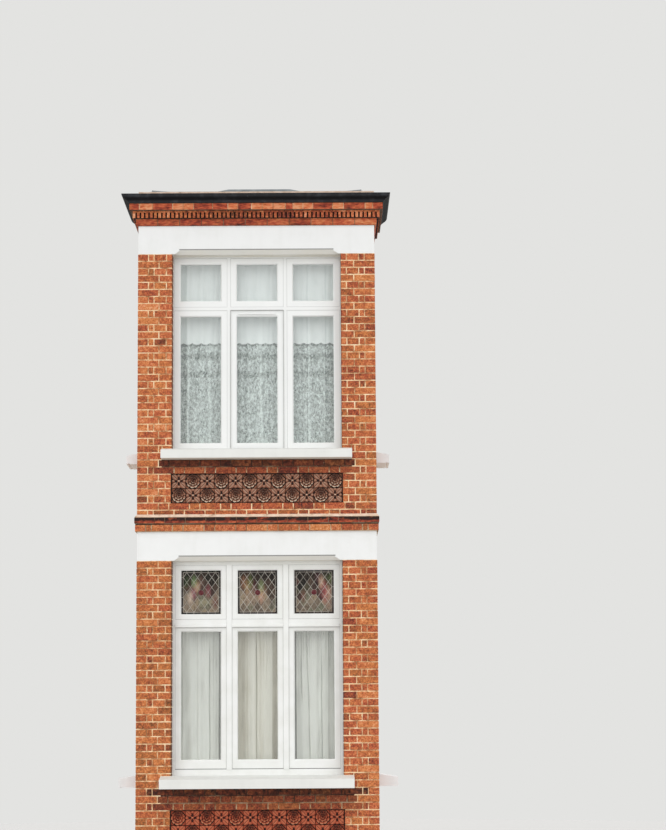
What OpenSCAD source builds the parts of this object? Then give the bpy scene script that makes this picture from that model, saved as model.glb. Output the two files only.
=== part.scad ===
// Two-storey box bay window of a brick terraced house, in millimetres with +Z up.
// The street front faces -Y, the open back meets the house wall, and the ground is z = 0.

/* [Bay] */
// Width of the brickwork across the front
bay_w = 2514; // [2400:2:2740]
// Distance from the house wall to the front face
bay_d = 914; // [890:2:1000]
// Thickness of the brick walls
wall_t = 229; // [215:1:240]
// Height of one brick course with its joint
course = 76.2; // [74:0.1:79]
// Courses from the ground to the lower sill
base_courses = 16; // [14:1:18]
// Width of the front window openings
open_w = 1794; // [1700:2:1900]
// Length of a return from the front face to its window
side_pier = 400; // [350:5:420]
// Width of the side window openings
side_open_w = 300; // [270:5:330]

/* [Storeys] */
// Courses beside the ground-floor windows with their sills
ground_jamb_courses = 31; // [29:1:33]
// Courses beside the first-floor windows with their sills
first_jamb_courses = 29; // [27:1:31]
// Courses in each lintel
lintel_courses = 4; // [3:1:5]
// Courses between the lower sill and its tile panel
ground_border_courses = 3; // [2:1:4]
// Courses above and below the upper tile panel
first_border_courses = 2; // [1:1:3]
// Drop from the lower sill to the ground-floor boards
ground_floor_drop = 574; // [500:2:640]
// Drop from the upper sill to the first-floor boards
first_floor_drop = 520; // [440:2:560]

/* [Sills] */
// Thickness of the lower sills
ground_sill_t = 126; // [110:1:140]
// Projection of the lower sills
ground_sill_out = 214; // [190:1:230]
// Thickness of the upper sills
first_sill_t = 118; // [100:1:130]
// Projection of the upper sills
first_sill_out = 150; // [130:1:180]
// Length of a front sill beyond each side of its opening
sill_horn = 105; // [80:1:115]
// Length of a side sill beyond each side of its opening
side_horn = 70; // [50:1:90]
// Fall of the weathered top
sill_fall = 30; // [12:1:36]
// Radius of the drip groove under the nose
throat_r = 7; // [5:0.5:9]
// Distance of the drip groove from the nose
throat_in = 28; // [20:1:40]

/* [Lintels] */
// Width of the chamfer along the lower edge
chamfer = 43; // [30:1:55]
// Length of each splayed stop
stop_len = 92; // [60:1:110]
// Plain length between an opening's side and the stop
stop_in = 28; // [15:1:40]

/* [Tile panels] */
// Tiles in one row of a panel
tile_cols = 12; // [10:1:14]
// Rows of tiles in a panel
tile_rows = 2; // [1:1:3]
// Courses to one row of tiles
tile_courses = 2; // [1:1:2]
// Thickness of the tiles
tile_t = 45; // [35:1:55]
// Depth of the tile faces behind the brick face
panel_in = 25; // [15:1:35]
// Width of the joint between tiles
tile_joint = 3; // [2:0.5:5]
// Depth of the joint between tiles
tile_joint_d = 6; // [4:0.5:9]

/* [Timber windows] */
// Depth of the ground-floor frames behind the brick face
timber_reveal = 130; // [115:1:138]
// Depth of the frame section
timber_d = 90; // [82:1:90]
// Face width of the side posts
timber_jamb = 34; // [28:1:50]
// Face width of the mullions
timber_mullion = 60; // [50:1:80]
// Projection of the rounded strips on the mullions
mullion_bead = 14; // [8:1:20]
// Face height of the head
timber_head = 38; // [30:1:60]
// Face height of the cill
timber_cill = 64; // [50:1:80]
// Height of the transom above the stone sill
timber_transom_z = 1542; // [1450:2:1650]
// Face height of the transom
timber_transom = 85; // [70:1:110]
// Projection of the transom's drip moulding
transom_drip = 22; // [12:1:30]
// Height of the drip moulding
transom_drip_h = 34; // [24:1:44]
// Face width of the sash stiles
timber_stile = 58; // [46:1:66]
// Face height of the casements' top rails
casement_top_rail = 42; // [38:1:60]
// Face height of the casements' bottom rails
casement_bottom_rail = 94; // [80:1:120]
// Gap under the casements
casement_gap = 6; // [3:0.5:8]
// Face height of the top lights' rails
light_rail = 54; // [44:1:64]
// Thickness of the sashes
timber_sash_t = 45; // [40:1:52]

/* [Plastic windows] */
// Depth of the first-floor frames behind the brick face
pvc_reveal = 150; // [130:1:158]
// Depth of the frame section
pvc_d = 70; // [62:1:72]
// Face width of the outer frame
pvc_jamb = 12; // [10:1:20]
// Face width of the mullions and transom
pvc_mullion = 36; // [28:1:44]
// Height of the transom above the stone sill
pvc_transom_z = 1511; // [1430:1:1600]
// Face width of the sash sections
pvc_stile = 66; // [56:1:76]
// Thickness of the sashes
pvc_sash_t = 48; // [42:1:52]
// Length of the vent on the middle casement
vent_len = 400; // [340:5:430]
// Height of the vent
vent_h = 20; // [14:1:26]
// Projection of the vent
vent_out = 14; // [8:1:18]

/* [Glazing] */
// Gap between a sash and its frame
sash_gap = 2; // [1:0.25:3]
// Width of the stop behind a sash
sash_stop = 14; // [11:1:18]
// Setback of the sashes from the frame face
sash_in = 4; // [2:0.5:8]
// Width of the bevel round the glass
sash_bevel = 12; // [6:1:16]
// Depth of the bevel
sash_bevel_d = 9; // [5:1:12]
// Thickness of the glass
glass_t = 6; // [4:0.5:8]
// Depth of the groove that holds the glass
glass_bite = 10; // [7:1:14]

/* [String course] */
// Projection of the plain course
plain_out = 18; // [10:1:24]
// Projection of the moulded course
moulded_out = 26; // [25:1:34]
// Height of the cement weathering on top
weathering_h = 32; // [20:1:40]

/* [Cornice] */
// Projection of the moulded course
bed_out = 24; // [16:1:30]
// Projection of the band behind the dentils
dentil_back = 37; // [32:1:42]
// Projection of the dentils
dentil_out = 57; // [50:1:64]
// Height of the fillet over the dentils
dentil_fillet = 18; // [12:1:24]
// Number of dentils along the front
dentils = 58; // [50:1:66]
// Width of a dentil
dentil_w = 28; // [22:0.5:34]
// Projection of the plain top course
cap_out = 88; // [80:1:100]

/* [Gutter] */
// Thickness of the board behind the gutter
gutter_board_t = 20; // [15:1:28]
// Projection of the gutter's lip
gutter_out = 168; // [155:1:180]
// Height of the gutter
gutter_h = 84; // [74:1:96]
// Width of the gutter's flat bottom
gutter_base = 78; // [65:1:90]
// Thickness of the iron
gutter_t = 6; // [4:0.5:8]
// Height of the lip's bead
gutter_bead = 9; // [7:0.5:12]

/* [Roof] */
// Courses between the cornice and the roof
eaves_courses = 1; // [1:1:2]
// Height of the cement kerb at the brick face
roof_bed_t = 70; // [60:1:80]
// Rise of the cement kerb to the roof's edge
roof_bed_rise = 8; // [4:1:12]
// Distance of the roof's edge behind the brick face
roof_in = 130; // [110:2:150]
// Rise of the roof to the house wall
roof_rise = 150; // [110:2:200]
// Thickness of the roof boards
deck_t = 22; // [18:1:28]
// Thickness of the lead with its folds
lead_t = 5; // [3:0.5:7]
// Projection of the lead beyond the boards' edge
lead_out = 12; // [8:1:18]
// Radius of the lead rolls
roll_r = 18; // [14:1:22]
// Height of the flashing up the house wall
flashing_h = 100; // [75:1:130]

/* [Floors and ceilings] */
// Thickness of the floor boards
board_t = 22; // [18:1:28]
// Width of a joist
joist_w = 50; // [38:1:63]
// Number of joists across the bay
joists = 6; // [4:1:8]
// Depth of the ground-floor joists
ground_joist_h = 150; // [125:1:175]
// Depth of the roof joists
roof_joist_h = 200; // [150:1:225]
// Thickness of the ceiling plaster
plaster_t = 25; // [18:1:30]
// Gap between the ground-floor lintel's top and the ceiling
ceiling_up = 25; // [0:1:40]
// Thickness of the window boards
window_board_t = 25; // [20:1:32]
// Projection of the window boards into the room
window_board_out = 60; // [40:1:90]
// Gap between a window board's end and the side wall
window_board_gap = 70; // [40:1:100]

/* [Curtains] */
// Distance of the curtain rods from the wall's inner face
rod_out = 90; // [80:1:110]
// Radius of the curtain rods
rod_r = 8; // [6:0.5:10]
// Drop from the ground-floor transom's top to the rod
rod_drop = 40; // [30:1:60]
// Drop from the first-floor lintel to the rod
upper_rod_drop = 20; // [10:1:30]
// Thickness of the sockets that hold the rods
rod_socket_t = 6; // [4:0.5:10]
// Play between the curtains and their rods
rod_play = 0.3; // [0.2:0.1:1]
// Thickness of the hanging curtains with their folds
curtain_t = 36; // [28:1:44]
// Gap between a curtain and its neighbours
curtain_gap = 14; // [8:1:20]

/* [Hidden] */
$fn = 48;

// Cutters run this far past the faces that they cut
over = 20;

// Plan
reach = max(ground_sill_out, first_sill_out, gutter_out);
front_y = (reach - bay_d) / 2;
back_y = front_y + bay_d;
inner_y = front_y + wall_t;
half_w = bay_w / 2;
half_in = half_w - wall_t;
half_open = open_w / 2;
roof_half_w = half_w - roof_in;
roof_d = bay_d - roof_in;
side_y0 = front_y + side_pier;
side_y1 = side_y0 + side_open_w;

// Heights
lintel_h = lintel_courses * course;
tile_w = open_w / tile_cols;
tile_h = tile_courses * course;
panel_h = tile_rows * tile_h;
ground_sill_z = base_courses * course;
ground_open_z = ground_sill_z + ground_sill_t;
ground_head_z = ground_sill_z + ground_jamb_courses * course;
ground_open_h = ground_head_z - ground_open_z;
ground_panel_z = ground_sill_z - ground_border_courses * course - panel_h;
string_z = ground_head_z + lintel_h;
moulded_z = string_z + course;
apron_z = moulded_z + course;
first_panel_z = apron_z + first_border_courses * course;
first_sill_z = first_panel_z + panel_h + first_border_courses * course;
first_open_z = first_sill_z + first_sill_t;
first_head_z = first_sill_z + first_jamb_courses * course;
first_open_h = first_head_z - first_open_z;
cornice_z = first_head_z + lintel_h;
dentil_z = cornice_z + course;
cap_z = dentil_z + course;
eaves_z = cap_z + course;
roof_bed_z = eaves_z + eaves_courses * course;
deck_z = roof_bed_z + roof_bed_t + roof_bed_rise;
ground_floor_z = ground_open_z - ground_floor_drop;
first_floor_z = first_open_z - first_floor_drop;
ground_ceiling_z = string_z + ceiling_up;
first_ceiling_z = deck_z - roof_joist_h - plaster_t;

brick_red = "#a8492c";
stone_white = "#e9e7e1";
terracotta = "#7c3a2a";
paint_white = "#f2f1ec";

// Small helpers

// Repeats what stands on the right return on the left one
module both_sides() {
    children();
    mirror([1, 0, 0]) children();
}

// Places a front window's pieces with their outer lower left corner at the origin
module in_front_opening(reveal, open_z) {
    translate([-half_open, front_y + reveal, open_z]) children();
}

// Places a side window's pieces in both returns
module in_side_openings(reveal, open_z) {
    both_sides() translate([half_w - reveal, side_y0, open_z]) rotate([0, 0, 90]) children();
}

// Points of a quarter round that bulges outwards, from the wall at the bottom to the front at the top
function ovolo(p, z, r) = [for (a = [0:15:90]) [p + r * sin(a), z + r * (1 - cos(a))]];

// Points of an S-shaped moulding, from its back at the bottom to its front at the top
function ogee(p0, p1, z0, z1, steps = 10) =
    [for (i = [0:steps]) [p0 + (p1 - p0) * (1 - cos(180 * i / steps)) / 2, z0 + (z1 - z0) * i / steps]];

function turned(points) = [for (i = [len(points) - 1:-1:0]) [-points[i][0], points[i][1]]];

// A band around the front and both returns, filled to the house wall.
// edge lists its outline as [projection, height] from bottom to top.
module filled_band(edge) {
    widest = max([for (e = edge) e[0]]);
    outside = [for (e = edge) [half_w + e[0], e[1]]];
    intersection() {
        translate([half_w + widest + over, front_y, 0]) rotate([90, 0, -90])
            linear_extrude(bay_w + 2 * (widest + over))
                polygon(concat([[-bay_d, edge[0][1]]], edge, [[-bay_d, edge[len(edge) - 1][1]]]));
        translate([0, back_y, 0]) rotate([90, 0, 0])
            linear_extrude(bay_d + widest + over)
                polygon(concat(outside, turned(outside)));
    }
}

// The same band with the room left open behind it
module band(edge, depth = wall_t) {
    z0 = edge[0][1];
    z1 = edge[len(edge) - 1][1];
    difference() {
        filled_band(edge);
        translate([-half_w + depth, front_y + depth, z0 - over])
            cube([bay_w - 2 * depth, bay_d - depth + over, z1 - z0 + 2 * over]);
    }
}

// Walls

module front_slab(z0, z1) {
    translate([-half_w, front_y, z0]) cube([bay_w, wall_t, z1 - z0]);
}

module side_slabs(z0, z1) {
    both_sides() translate([half_in, inner_y, z0]) cube([wall_t, bay_d - wall_t, z1 - z0]);
}

// Front wall below a window, with the recess for its tiles
module apron(z0, z1, panel_z) {
    difference() {
        front_slab(z0, z1);
        translate([-half_open, front_y - over, panel_z])
            cube([open_w, panel_in + tile_t + over, panel_h]);
    }
}

// Two L-shaped corner piers, cut for the ends of the sills
module corner_piers(z0, z1, sill_t) {
    both_sides() difference() {
        union() {
            translate([half_open, front_y, z0]) cube([half_w - half_open, wall_t, z1 - z0]);
            translate([half_in, front_y, z0]) cube([wall_t, side_pier, z1 - z0]);
        }
        translate([half_open - over, front_y - over, z0 - over])
            cube([sill_horn + over, wall_t + 2 * over, sill_t + over]);
        translate([half_in - over, side_y0 - side_horn, z0 - over])
            cube([wall_t + 2 * over, side_horn + over, sill_t + over]);
    }
}

// The two ends of the returns beside the house wall
module rear_jambs(z0, z1, sill_t) {
    both_sides() difference() {
        translate([half_in, side_y1, z0]) cube([wall_t, back_y - side_y1, z1 - z0]);
        translate([half_in - over, side_y1 - over, z0 - over])
            cube([wall_t + 2 * over, side_horn + over, sill_t + over]);
    }
}

module ground_front_apron() {
    color(brick_red) apron(0, ground_sill_z, ground_panel_z);
}

module ground_side_aprons() {
    color(brick_red) side_slabs(0, ground_sill_z);
}

module ground_corner_piers() {
    color(brick_red) corner_piers(ground_sill_z, ground_head_z, ground_sill_t);
}

module ground_rear_jambs() {
    color(brick_red) rear_jambs(ground_sill_z, ground_head_z, ground_sill_t);
}

module first_front_apron() {
    color(brick_red) apron(apron_z, first_sill_z, first_panel_z);
}

module first_side_aprons() {
    color(brick_red) side_slabs(apron_z, first_sill_z);
}

module first_corner_piers() {
    color(brick_red) corner_piers(first_sill_z, first_head_z, first_sill_t);
}

module first_rear_jambs() {
    color(brick_red) rear_jambs(first_sill_z, first_head_z, first_sill_t);
}

// Sills

// Profile of a sill across the wall, from its nose at +X to the room at -X
module sill_profile(t, out) {
    difference() {
        polygon([[-wall_t, 0], [out, 0], [out, t - sill_fall], [0, t], [-wall_t, t]]);
        translate([out - throat_in, 0]) circle(throat_r);
    }
}

module front_sill(z, t, out) {
    len = open_w + 2 * sill_horn;
    color(stone_white) translate([len / 2, front_y, z]) rotate([90, 0, -90])
        linear_extrude(len) sill_profile(t, out);
}

module side_sills(z, t, out) {
    len = side_open_w + 2 * side_horn;
    color(stone_white) both_sides() translate([half_w, side_y1 + side_horn, z]) rotate([90, 0, 0])
        linear_extrude(len) sill_profile(t, out);
}

module ground_front_sill() {
    front_sill(ground_sill_z, ground_sill_t, ground_sill_out);
}

module ground_side_sills() {
    side_sills(ground_sill_z, ground_sill_t, ground_sill_out);
}

module first_front_sill() {
    front_sill(first_sill_z, first_sill_t, first_sill_out);
}

module first_side_sills() {
    side_sills(first_sill_z, first_sill_t, first_sill_out);
}

// Lintels

// Cutter for a chamfer along X with splayed stops, on the edge through the origin
module stopped_chamfer(len, stop) {
    intersection() {
        translate([len / 2 + over, 0, 0]) rotate([90, 0, -90]) linear_extrude(len + 2 * over)
            polygon([[over, -over], [over, chamfer + over], [-chamfer - over, -over]]);
        translate([0, chamfer + over, 0]) rotate([90, 0, 0]) linear_extrude(chamfer + 2 * over)
            polygon([[-len / 2, -over], [-len / 2, 0], [stop - len / 2, chamfer + over],
                     [len / 2 - stop, chamfer + over], [len / 2, 0], [len / 2, -over]]);
    }
}

module front_lintel(z) {
    color(paint_white) difference() {
        front_slab(z, z + lintel_h);
        translate([0, front_y, z]) stopped_chamfer(open_w - 2 * stop_in, stop_len);
    }
}

module side_lintels(z) {
    side_stop = stop_len / 2;
    side_in = stop_in / 2;
    color(paint_white) both_sides() difference() {
        translate([half_in, inner_y, z]) cube([wall_t, bay_d - wall_t, lintel_h]);
        translate([half_w, side_y0 + side_open_w / 2, z]) rotate([0, 0, 90])
            stopped_chamfer(side_open_w - 2 * side_in, side_stop);
    }
}

module ground_front_lintel() {
    front_lintel(ground_head_z);
}

module ground_side_lintels() {
    side_lintels(ground_head_z);
}

module first_front_lintel() {
    front_lintel(first_head_z);
}

module first_side_lintels() {
    side_lintels(first_head_z);
}

// Tile panels

module tile_panel(z) {
    color(terracotta) translate([-half_open, front_y + panel_in, z]) difference() {
        cube([open_w, tile_t, panel_h]);
        for (i = [1:tile_cols - 1])
            translate([i * tile_w - tile_joint / 2, -over, -over])
                cube([tile_joint, tile_joint_d + over, panel_h + 2 * over]);
        for (j = [1:1:tile_rows - 1])
            translate([-over, -over, j * tile_h - tile_joint / 2])
                cube([open_w + 2 * over, tile_joint_d + over, tile_joint]);
    }
}

module ground_tile_panel() {
    tile_panel(ground_panel_z);
}

module first_tile_panel() {
    tile_panel(first_panel_z);
}

// Windows, each drawn from its outer lower left corner with its face at y = 0

function light_w(w, lights, jamb, mullion) = (w - 2 * jamb - (lights - 1) * mullion) / lights;

// A frame with a row of lower lights and a row of top lights, rebated for the sashes
module frame(w, h, d, lights, jamb, mullion, head, cill, transom_z, transom, sash_t) {
    lw = light_w(w, lights, jamb, mullion);
    rows = [[cill, transom_z - cill], [transom_z + transom, h - head - transom_z - transom]];
    difference() {
        cube([w, d, h]);
        for (i = [0:lights - 1], row = rows) translate([jamb + i * (lw + mullion), 0, row[0]]) {
            translate([0, -over, 0]) cube([lw, over + sash_in + sash_t, row[1]]);
            translate([sash_stop, -over, sash_stop])
                cube([lw - 2 * sash_stop, d + 2 * over, row[1] - 2 * sash_stop]);
        }
    }
}

// A sash that fills a light but for its gaps, with a bevelled sight line and the groove for its glass
module sash(w, h, t, stile, top_rail, bottom_rail, bottom_gap = sash_gap) {
    sight_w = w - 2 * sash_gap - 2 * stile;
    sight_h = h - sash_gap - bottom_gap - top_rail - bottom_rail;
    difference() {
        translate([sash_gap, 0, bottom_gap]) cube([w - 2 * sash_gap, t, h - sash_gap - bottom_gap]);
        translate([sash_gap + stile, 0, bottom_gap + bottom_rail]) {
            translate([0, -over, 0]) cube([sight_w, t + 2 * over, sight_h]);
            translate([-glass_bite, (t - glass_t) / 2, -glass_bite])
                cube([sight_w + 2 * glass_bite, glass_t, sight_h + 2 * glass_bite]);
            bevelled_mouth(sight_w, sight_h);
        }
    }
}

// Cutter for the bevel round an opening that starts at the origin and faces -Y
module bevelled_mouth(w, h) {
    intersection() {
        translate([0, 0, -sash_bevel]) linear_extrude(h + 2 * sash_bevel)
            polygon([[-sash_bevel, 0], [0, sash_bevel_d], [w, sash_bevel_d], [w + sash_bevel, 0],
                     [w + sash_bevel, -over], [-sash_bevel, -over]]);
        translate([-sash_bevel, 0, 0]) rotate([90, 0, 90]) linear_extrude(w + 2 * sash_bevel)
            polygon([[0, -sash_bevel], [sash_bevel_d, 0], [sash_bevel_d, h], [0, h + sash_bevel],
                     [-over, h + sash_bevel], [-over, -sash_bevel]]);
    }
}

// The glass that fills the groove of such a sash
module pane(w, h, t, stile, top_rail, bottom_rail, bottom_gap = sash_gap) {
    sight_w = w - 2 * sash_gap - 2 * stile;
    sight_h = h - sash_gap - bottom_gap - top_rail - bottom_rail;
    translate([sash_gap + stile - glass_bite, (t - glass_t) / 2, bottom_gap + bottom_rail - glass_bite])
        cube([sight_w + 2 * glass_bite, glass_t, sight_h + 2 * glass_bite]);
}

// Timber windows of the ground floor

module timber_frame(w, lights) {
    lw = light_w(w, lights, timber_jamb, timber_mullion);
    frame(w, ground_open_h, timber_d, lights, timber_jamb, timber_mullion, timber_head,
          timber_cill, timber_transom_z, timber_transom, timber_sash_t);
    for (i = [0:lights - 1]) translate([timber_jamb + i * (lw + timber_mullion), 0, timber_transom_z])
        transom_moulding(lw);
    for (i = [1:1:lights - 1]) translate([timber_jamb + i * (lw + timber_mullion) - timber_mullion, 0, 0])
        mullion_strip();
}

// Weathered drip along the foot of the transom, over one light
module transom_moulding(w) {
    rotate([90, 0, 90]) linear_extrude(w)
        polygon([[0, 0], [-transom_drip + sash_in, 0], [-transom_drip, sash_in],
                 [-transom_drip, transom_drip_h / 2], [0, transom_drip_h]]);
}

// Strip with rounded edges along the face of a mullion, from the cill to the head
module mullion_strip() {
    r = mullion_bead / 2;
    translate([0, 0, timber_cill]) linear_extrude(ground_open_h - timber_head - timber_cill)
        polygon(concat(
            [[timber_mullion, 0]],
            [for (a = [0:15:90]) [timber_mullion - r + r * cos(a), -r - r * sin(a)]],
            [for (a = [90:-15:0]) [r - r * cos(a), -r - r * sin(a)]],
            [[0, 0]]));
}

// Stands the children in each light of a row
module in_lights(w, lights, jamb, mullion, z) {
    lw = light_w(w, lights, jamb, mullion);
    for (i = [0:lights - 1]) translate([jamb + i * (lw + mullion), sash_in, z]) children();
}

module timber_lower(w, lights) {
    in_lights(w, lights, timber_jamb, timber_mullion, timber_cill) children();
}

module timber_upper(w, lights) {
    in_lights(w, lights, timber_jamb, timber_mullion, timber_transom_z + timber_transom) children();
}

timber_lower_h = timber_transom_z - timber_cill;
timber_upper_h = ground_open_h - timber_head - timber_transom_z - timber_transom;
timber_front_w = light_w(open_w, 3, timber_jamb, timber_mullion);
timber_side_w = light_w(side_open_w, 1, timber_jamb, timber_mullion);

module timber_casement(w) {
    sash(w, timber_lower_h, timber_sash_t, timber_stile, casement_top_rail, casement_bottom_rail, casement_gap);
}

module timber_top_light(w) {
    sash(w, timber_upper_h, timber_sash_t, timber_stile, light_rail, light_rail);
}

module timber_pane(w) {
    pane(w, timber_lower_h, timber_sash_t, timber_stile, casement_top_rail, casement_bottom_rail, casement_gap);
}

module timber_top_pane(w) {
    pane(w, timber_upper_h, timber_sash_t, timber_stile, light_rail, light_rail);
}

module ground_window_frames() {
    color(paint_white) {
        in_front_opening(timber_reveal, ground_open_z) timber_frame(open_w, 3);
        in_side_openings(timber_reveal, ground_open_z) timber_frame(side_open_w, 1);
    }
}

module ground_casements() {
    color(paint_white) {
        in_front_opening(timber_reveal, ground_open_z) timber_lower(open_w, 3) timber_casement(timber_front_w);
        in_side_openings(timber_reveal, ground_open_z)
            timber_lower(side_open_w, 1) timber_casement(timber_side_w);
    }
}

module ground_top_lights() {
    color(paint_white) {
        in_front_opening(timber_reveal, ground_open_z) timber_upper(open_w, 3) timber_top_light(timber_front_w);
        in_side_openings(timber_reveal, ground_open_z)
            timber_upper(side_open_w, 1) timber_top_light(timber_side_w);
    }
}

module ground_glass() {
    color("lightblue", 0.5) {
        in_front_opening(timber_reveal, ground_open_z) timber_lower(open_w, 3) timber_pane(timber_front_w);
        in_side_openings(timber_reveal, ground_open_z) timber_lower(side_open_w, 1) timber_pane(timber_side_w);
    }
}

module ground_leaded_glass() {
    color("darkred", 0.5) {
        in_front_opening(timber_reveal, ground_open_z) timber_upper(open_w, 3) timber_top_pane(timber_front_w);
        in_side_openings(timber_reveal, ground_open_z)
            timber_upper(side_open_w, 1) timber_top_pane(timber_side_w);
    }
}

// Plastic windows of the first floor

module pvc_frame(w, lights) {
    frame(w, first_open_h, pvc_d, lights, pvc_jamb, pvc_mullion, pvc_jamb,
          pvc_jamb, pvc_transom_z, pvc_mullion, pvc_sash_t);
}

module pvc_lower(w, lights) {
    in_lights(w, lights, pvc_jamb, pvc_mullion, pvc_jamb) children();
}

module pvc_upper(w, lights) {
    in_lights(w, lights, pvc_jamb, pvc_mullion, pvc_transom_z + pvc_mullion) children();
}

pvc_lower_h = pvc_transom_z - pvc_jamb;
pvc_upper_h = first_open_h - pvc_jamb - pvc_transom_z - pvc_mullion;
pvc_front_w = light_w(open_w, 3, pvc_jamb, pvc_mullion);
pvc_side_w = light_w(side_open_w, 1, pvc_jamb, pvc_mullion);

module pvc_sash(w, h) {
    sash(w, h, pvc_sash_t, pvc_stile, pvc_stile, pvc_stile);
}

module pvc_pane(w, h) {
    pane(w, h, pvc_sash_t, pvc_stile, pvc_stile, pvc_stile);
}

module first_window_frames() {
    color(paint_white) {
        in_front_opening(pvc_reveal, first_open_z) pvc_frame(open_w, 3);
        in_side_openings(pvc_reveal, first_open_z) pvc_frame(side_open_w, 1);
    }
}

// Hooded vent on the top rail of the middle casement
module casement_vent() {
    translate([(open_w - vent_len) / 2, sash_in, pvc_transom_z - sash_gap - (pvc_stile + vent_h) / 2])
        rotate([90, 0, 90]) linear_extrude(vent_len)
            polygon([[0, 0], [-vent_out, 0], [-vent_out, vent_h * 0.6], [0, vent_h]]);
}

module first_casements() {
    color(paint_white) {
        in_front_opening(pvc_reveal, first_open_z) {
            pvc_lower(open_w, 3) pvc_sash(pvc_front_w, pvc_lower_h);
            casement_vent();
        }
        in_side_openings(pvc_reveal, first_open_z) pvc_lower(side_open_w, 1) pvc_sash(pvc_side_w, pvc_lower_h);
    }
}

module first_top_lights() {
    color(paint_white) {
        in_front_opening(pvc_reveal, first_open_z) pvc_upper(open_w, 3) pvc_sash(pvc_front_w, pvc_upper_h);
        in_side_openings(pvc_reveal, first_open_z) pvc_upper(side_open_w, 1) pvc_sash(pvc_side_w, pvc_upper_h);
    }
}

module first_glass() {
    color("lightblue", 0.5) {
        in_front_opening(pvc_reveal, first_open_z) {
            pvc_lower(open_w, 3) pvc_pane(pvc_front_w, pvc_lower_h);
            pvc_upper(open_w, 3) pvc_pane(pvc_front_w, pvc_upper_h);
        }
        in_side_openings(pvc_reveal, first_open_z) {
            pvc_lower(side_open_w, 1) pvc_pane(pvc_side_w, pvc_lower_h);
            pvc_upper(side_open_w, 1) pvc_pane(pvc_side_w, pvc_upper_h);
        }
    }
}

// String course and weatherings

module string_course() {
    fillet = course - moulded_out + plain_out / 2;
    color(brick_red) band(concat(
        [[plain_out, string_z], [plain_out, moulded_z]],
        ovolo(plain_out / 2, moulded_z, moulded_out - plain_out / 2),
        [[moulded_out, moulded_z + fillet], [moulded_out, apron_z]]));
}

module cement_weatherings() {
    color("#b9b2a4") {
        band([[moulded_out, apron_z], [0.5, apron_z + weathering_h]], 0);
        band([[0, roof_bed_z], [0, roof_bed_z + roof_bed_t], [-roof_in, deck_z]]);
    }
}

// Cornice

module cornice_moulding() {
    color(brick_red) band(concat(
        [[0, cornice_z]], ovolo(0, cornice_z, bed_out), [[bed_out, dentil_z]]));
}

// Dentils under a fillet, with one at each corner and the same pitch on the returns
module dentil_course() {
    fillet_z = cap_z - dentil_fillet;
    pitch = (bay_w + 2 * dentil_out - dentil_w) / (dentils - 1);
    corner_x = half_w + dentil_out;
    corner_y = front_y - dentil_out;
    color(brick_red) {
        band([[dentil_back, dentil_z], [dentil_back, fillet_z], [dentil_out, fillet_z], [dentil_out, cap_z]]);
        for (i = [1:1:dentils - 2])
            translate([i * pitch - corner_x, corner_y, dentil_z]) cube([dentil_w, dentil_out, course]);
        both_sides() {
            translate([corner_x - dentil_w, corner_y, dentil_z]) cube([dentil_w, dentil_w, course]);
            for (i = [1:1:floor((back_y - corner_y - dentil_w) / pitch)])
                translate([half_w, corner_y + i * pitch, dentil_z]) cube([dentil_out, dentil_w, course]);
        }
    }
}

module cornice_cap() {
    color(brick_red) band([[cap_out, cap_z], [cap_out, eaves_z]]);
}

module eaves_course() {
    color(brick_red) band([[0, eaves_z], [0, roof_bed_z]]);
}

// Gutter

gutter_edge = concat(
    [[gutter_board_t, eaves_z]],
    ogee(gutter_board_t + gutter_base, gutter_out - gutter_t / 2, eaves_z, eaves_z + gutter_h - gutter_bead),
    [[gutter_out, eaves_z + gutter_h - gutter_bead], [gutter_out, eaves_z + gutter_h]]);
gutter_inside = concat(
    [[gutter_board_t, eaves_z + gutter_t]],
    ogee(gutter_board_t + gutter_base - gutter_t, gutter_out - 1.5 * gutter_t,
         eaves_z + gutter_t, eaves_z + gutter_h - gutter_bead),
    [[gutter_out - 1.5 * gutter_t, eaves_z + gutter_h + over]]);

// The moulded trough around the three sides, with closed ends at the house wall
module gutter() {
    difference() {
        band(gutter_edge, -gutter_board_t);
        difference() {
            band(gutter_inside, -gutter_board_t - gutter_t);
            translate([-half_w - reach, back_y - gutter_t, eaves_z])
                cube([bay_w + 2 * reach, gutter_t + over, gutter_h + 2 * over]);
        }
    }
}

// Plan of the front length of the gutter, mitred at the corners
module front_mitre() {
    r = 2 * gutter_out;
    translate([0, front_y, eaves_z - over]) linear_extrude(gutter_h + 2 * over)
        polygon([[-half_w, 0], [half_w, 0], [half_w + r, -r], [-half_w - r, -r]]);
}

module gutter_front() {
    color("#1c1d1f") intersection() {
        gutter();
        front_mitre();
    }
}

module gutter_sides() {
    color("#1c1d1f") difference() {
        gutter();
        front_mitre();
    }
}

module gutter_boards() {
    color("#26282a") band([[gutter_board_t, eaves_z], [gutter_board_t, eaves_z + gutter_h]], 0);
}

// Roof

// A low hipped block from z up, out past the brick face, with its slopes rising to the house wall
module hipped(z, out, edge_h, rise) {
    run = bay_d + out;
    w = half_w + out;
    intersection() {
        translate([w, front_y, z]) rotate([90, 0, -90]) linear_extrude(2 * w)
            polygon([[-bay_d, 0], [out, 0], [out, edge_h], [-bay_d, edge_h + rise]]);
        translate([0, back_y, z]) rotate([90, 0, 0]) linear_extrude(run)
            polygon([[-w, 0], [w, 0], [w, edge_h], [w - run, edge_h + rise],
                     [run - w, edge_h + rise], [-w, edge_h]]);
    }
}

// Boards on the walls' tops, over the joists that carry the ceiling
module roof_timbers() {
    slope = roof_rise / roof_d;
    inside = wall_t - roof_in;
    color("#b58f5f") {
        difference() {
            hipped(deck_z, -roof_in, deck_t, roof_rise);
            translate([0, 0, -over])
                hipped(deck_z, -wall_t, over + slope * inside, slope * (roof_d - inside));
        }
        joist_row(deck_z - roof_joist_h, roof_joist_h);
    }
}

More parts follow.
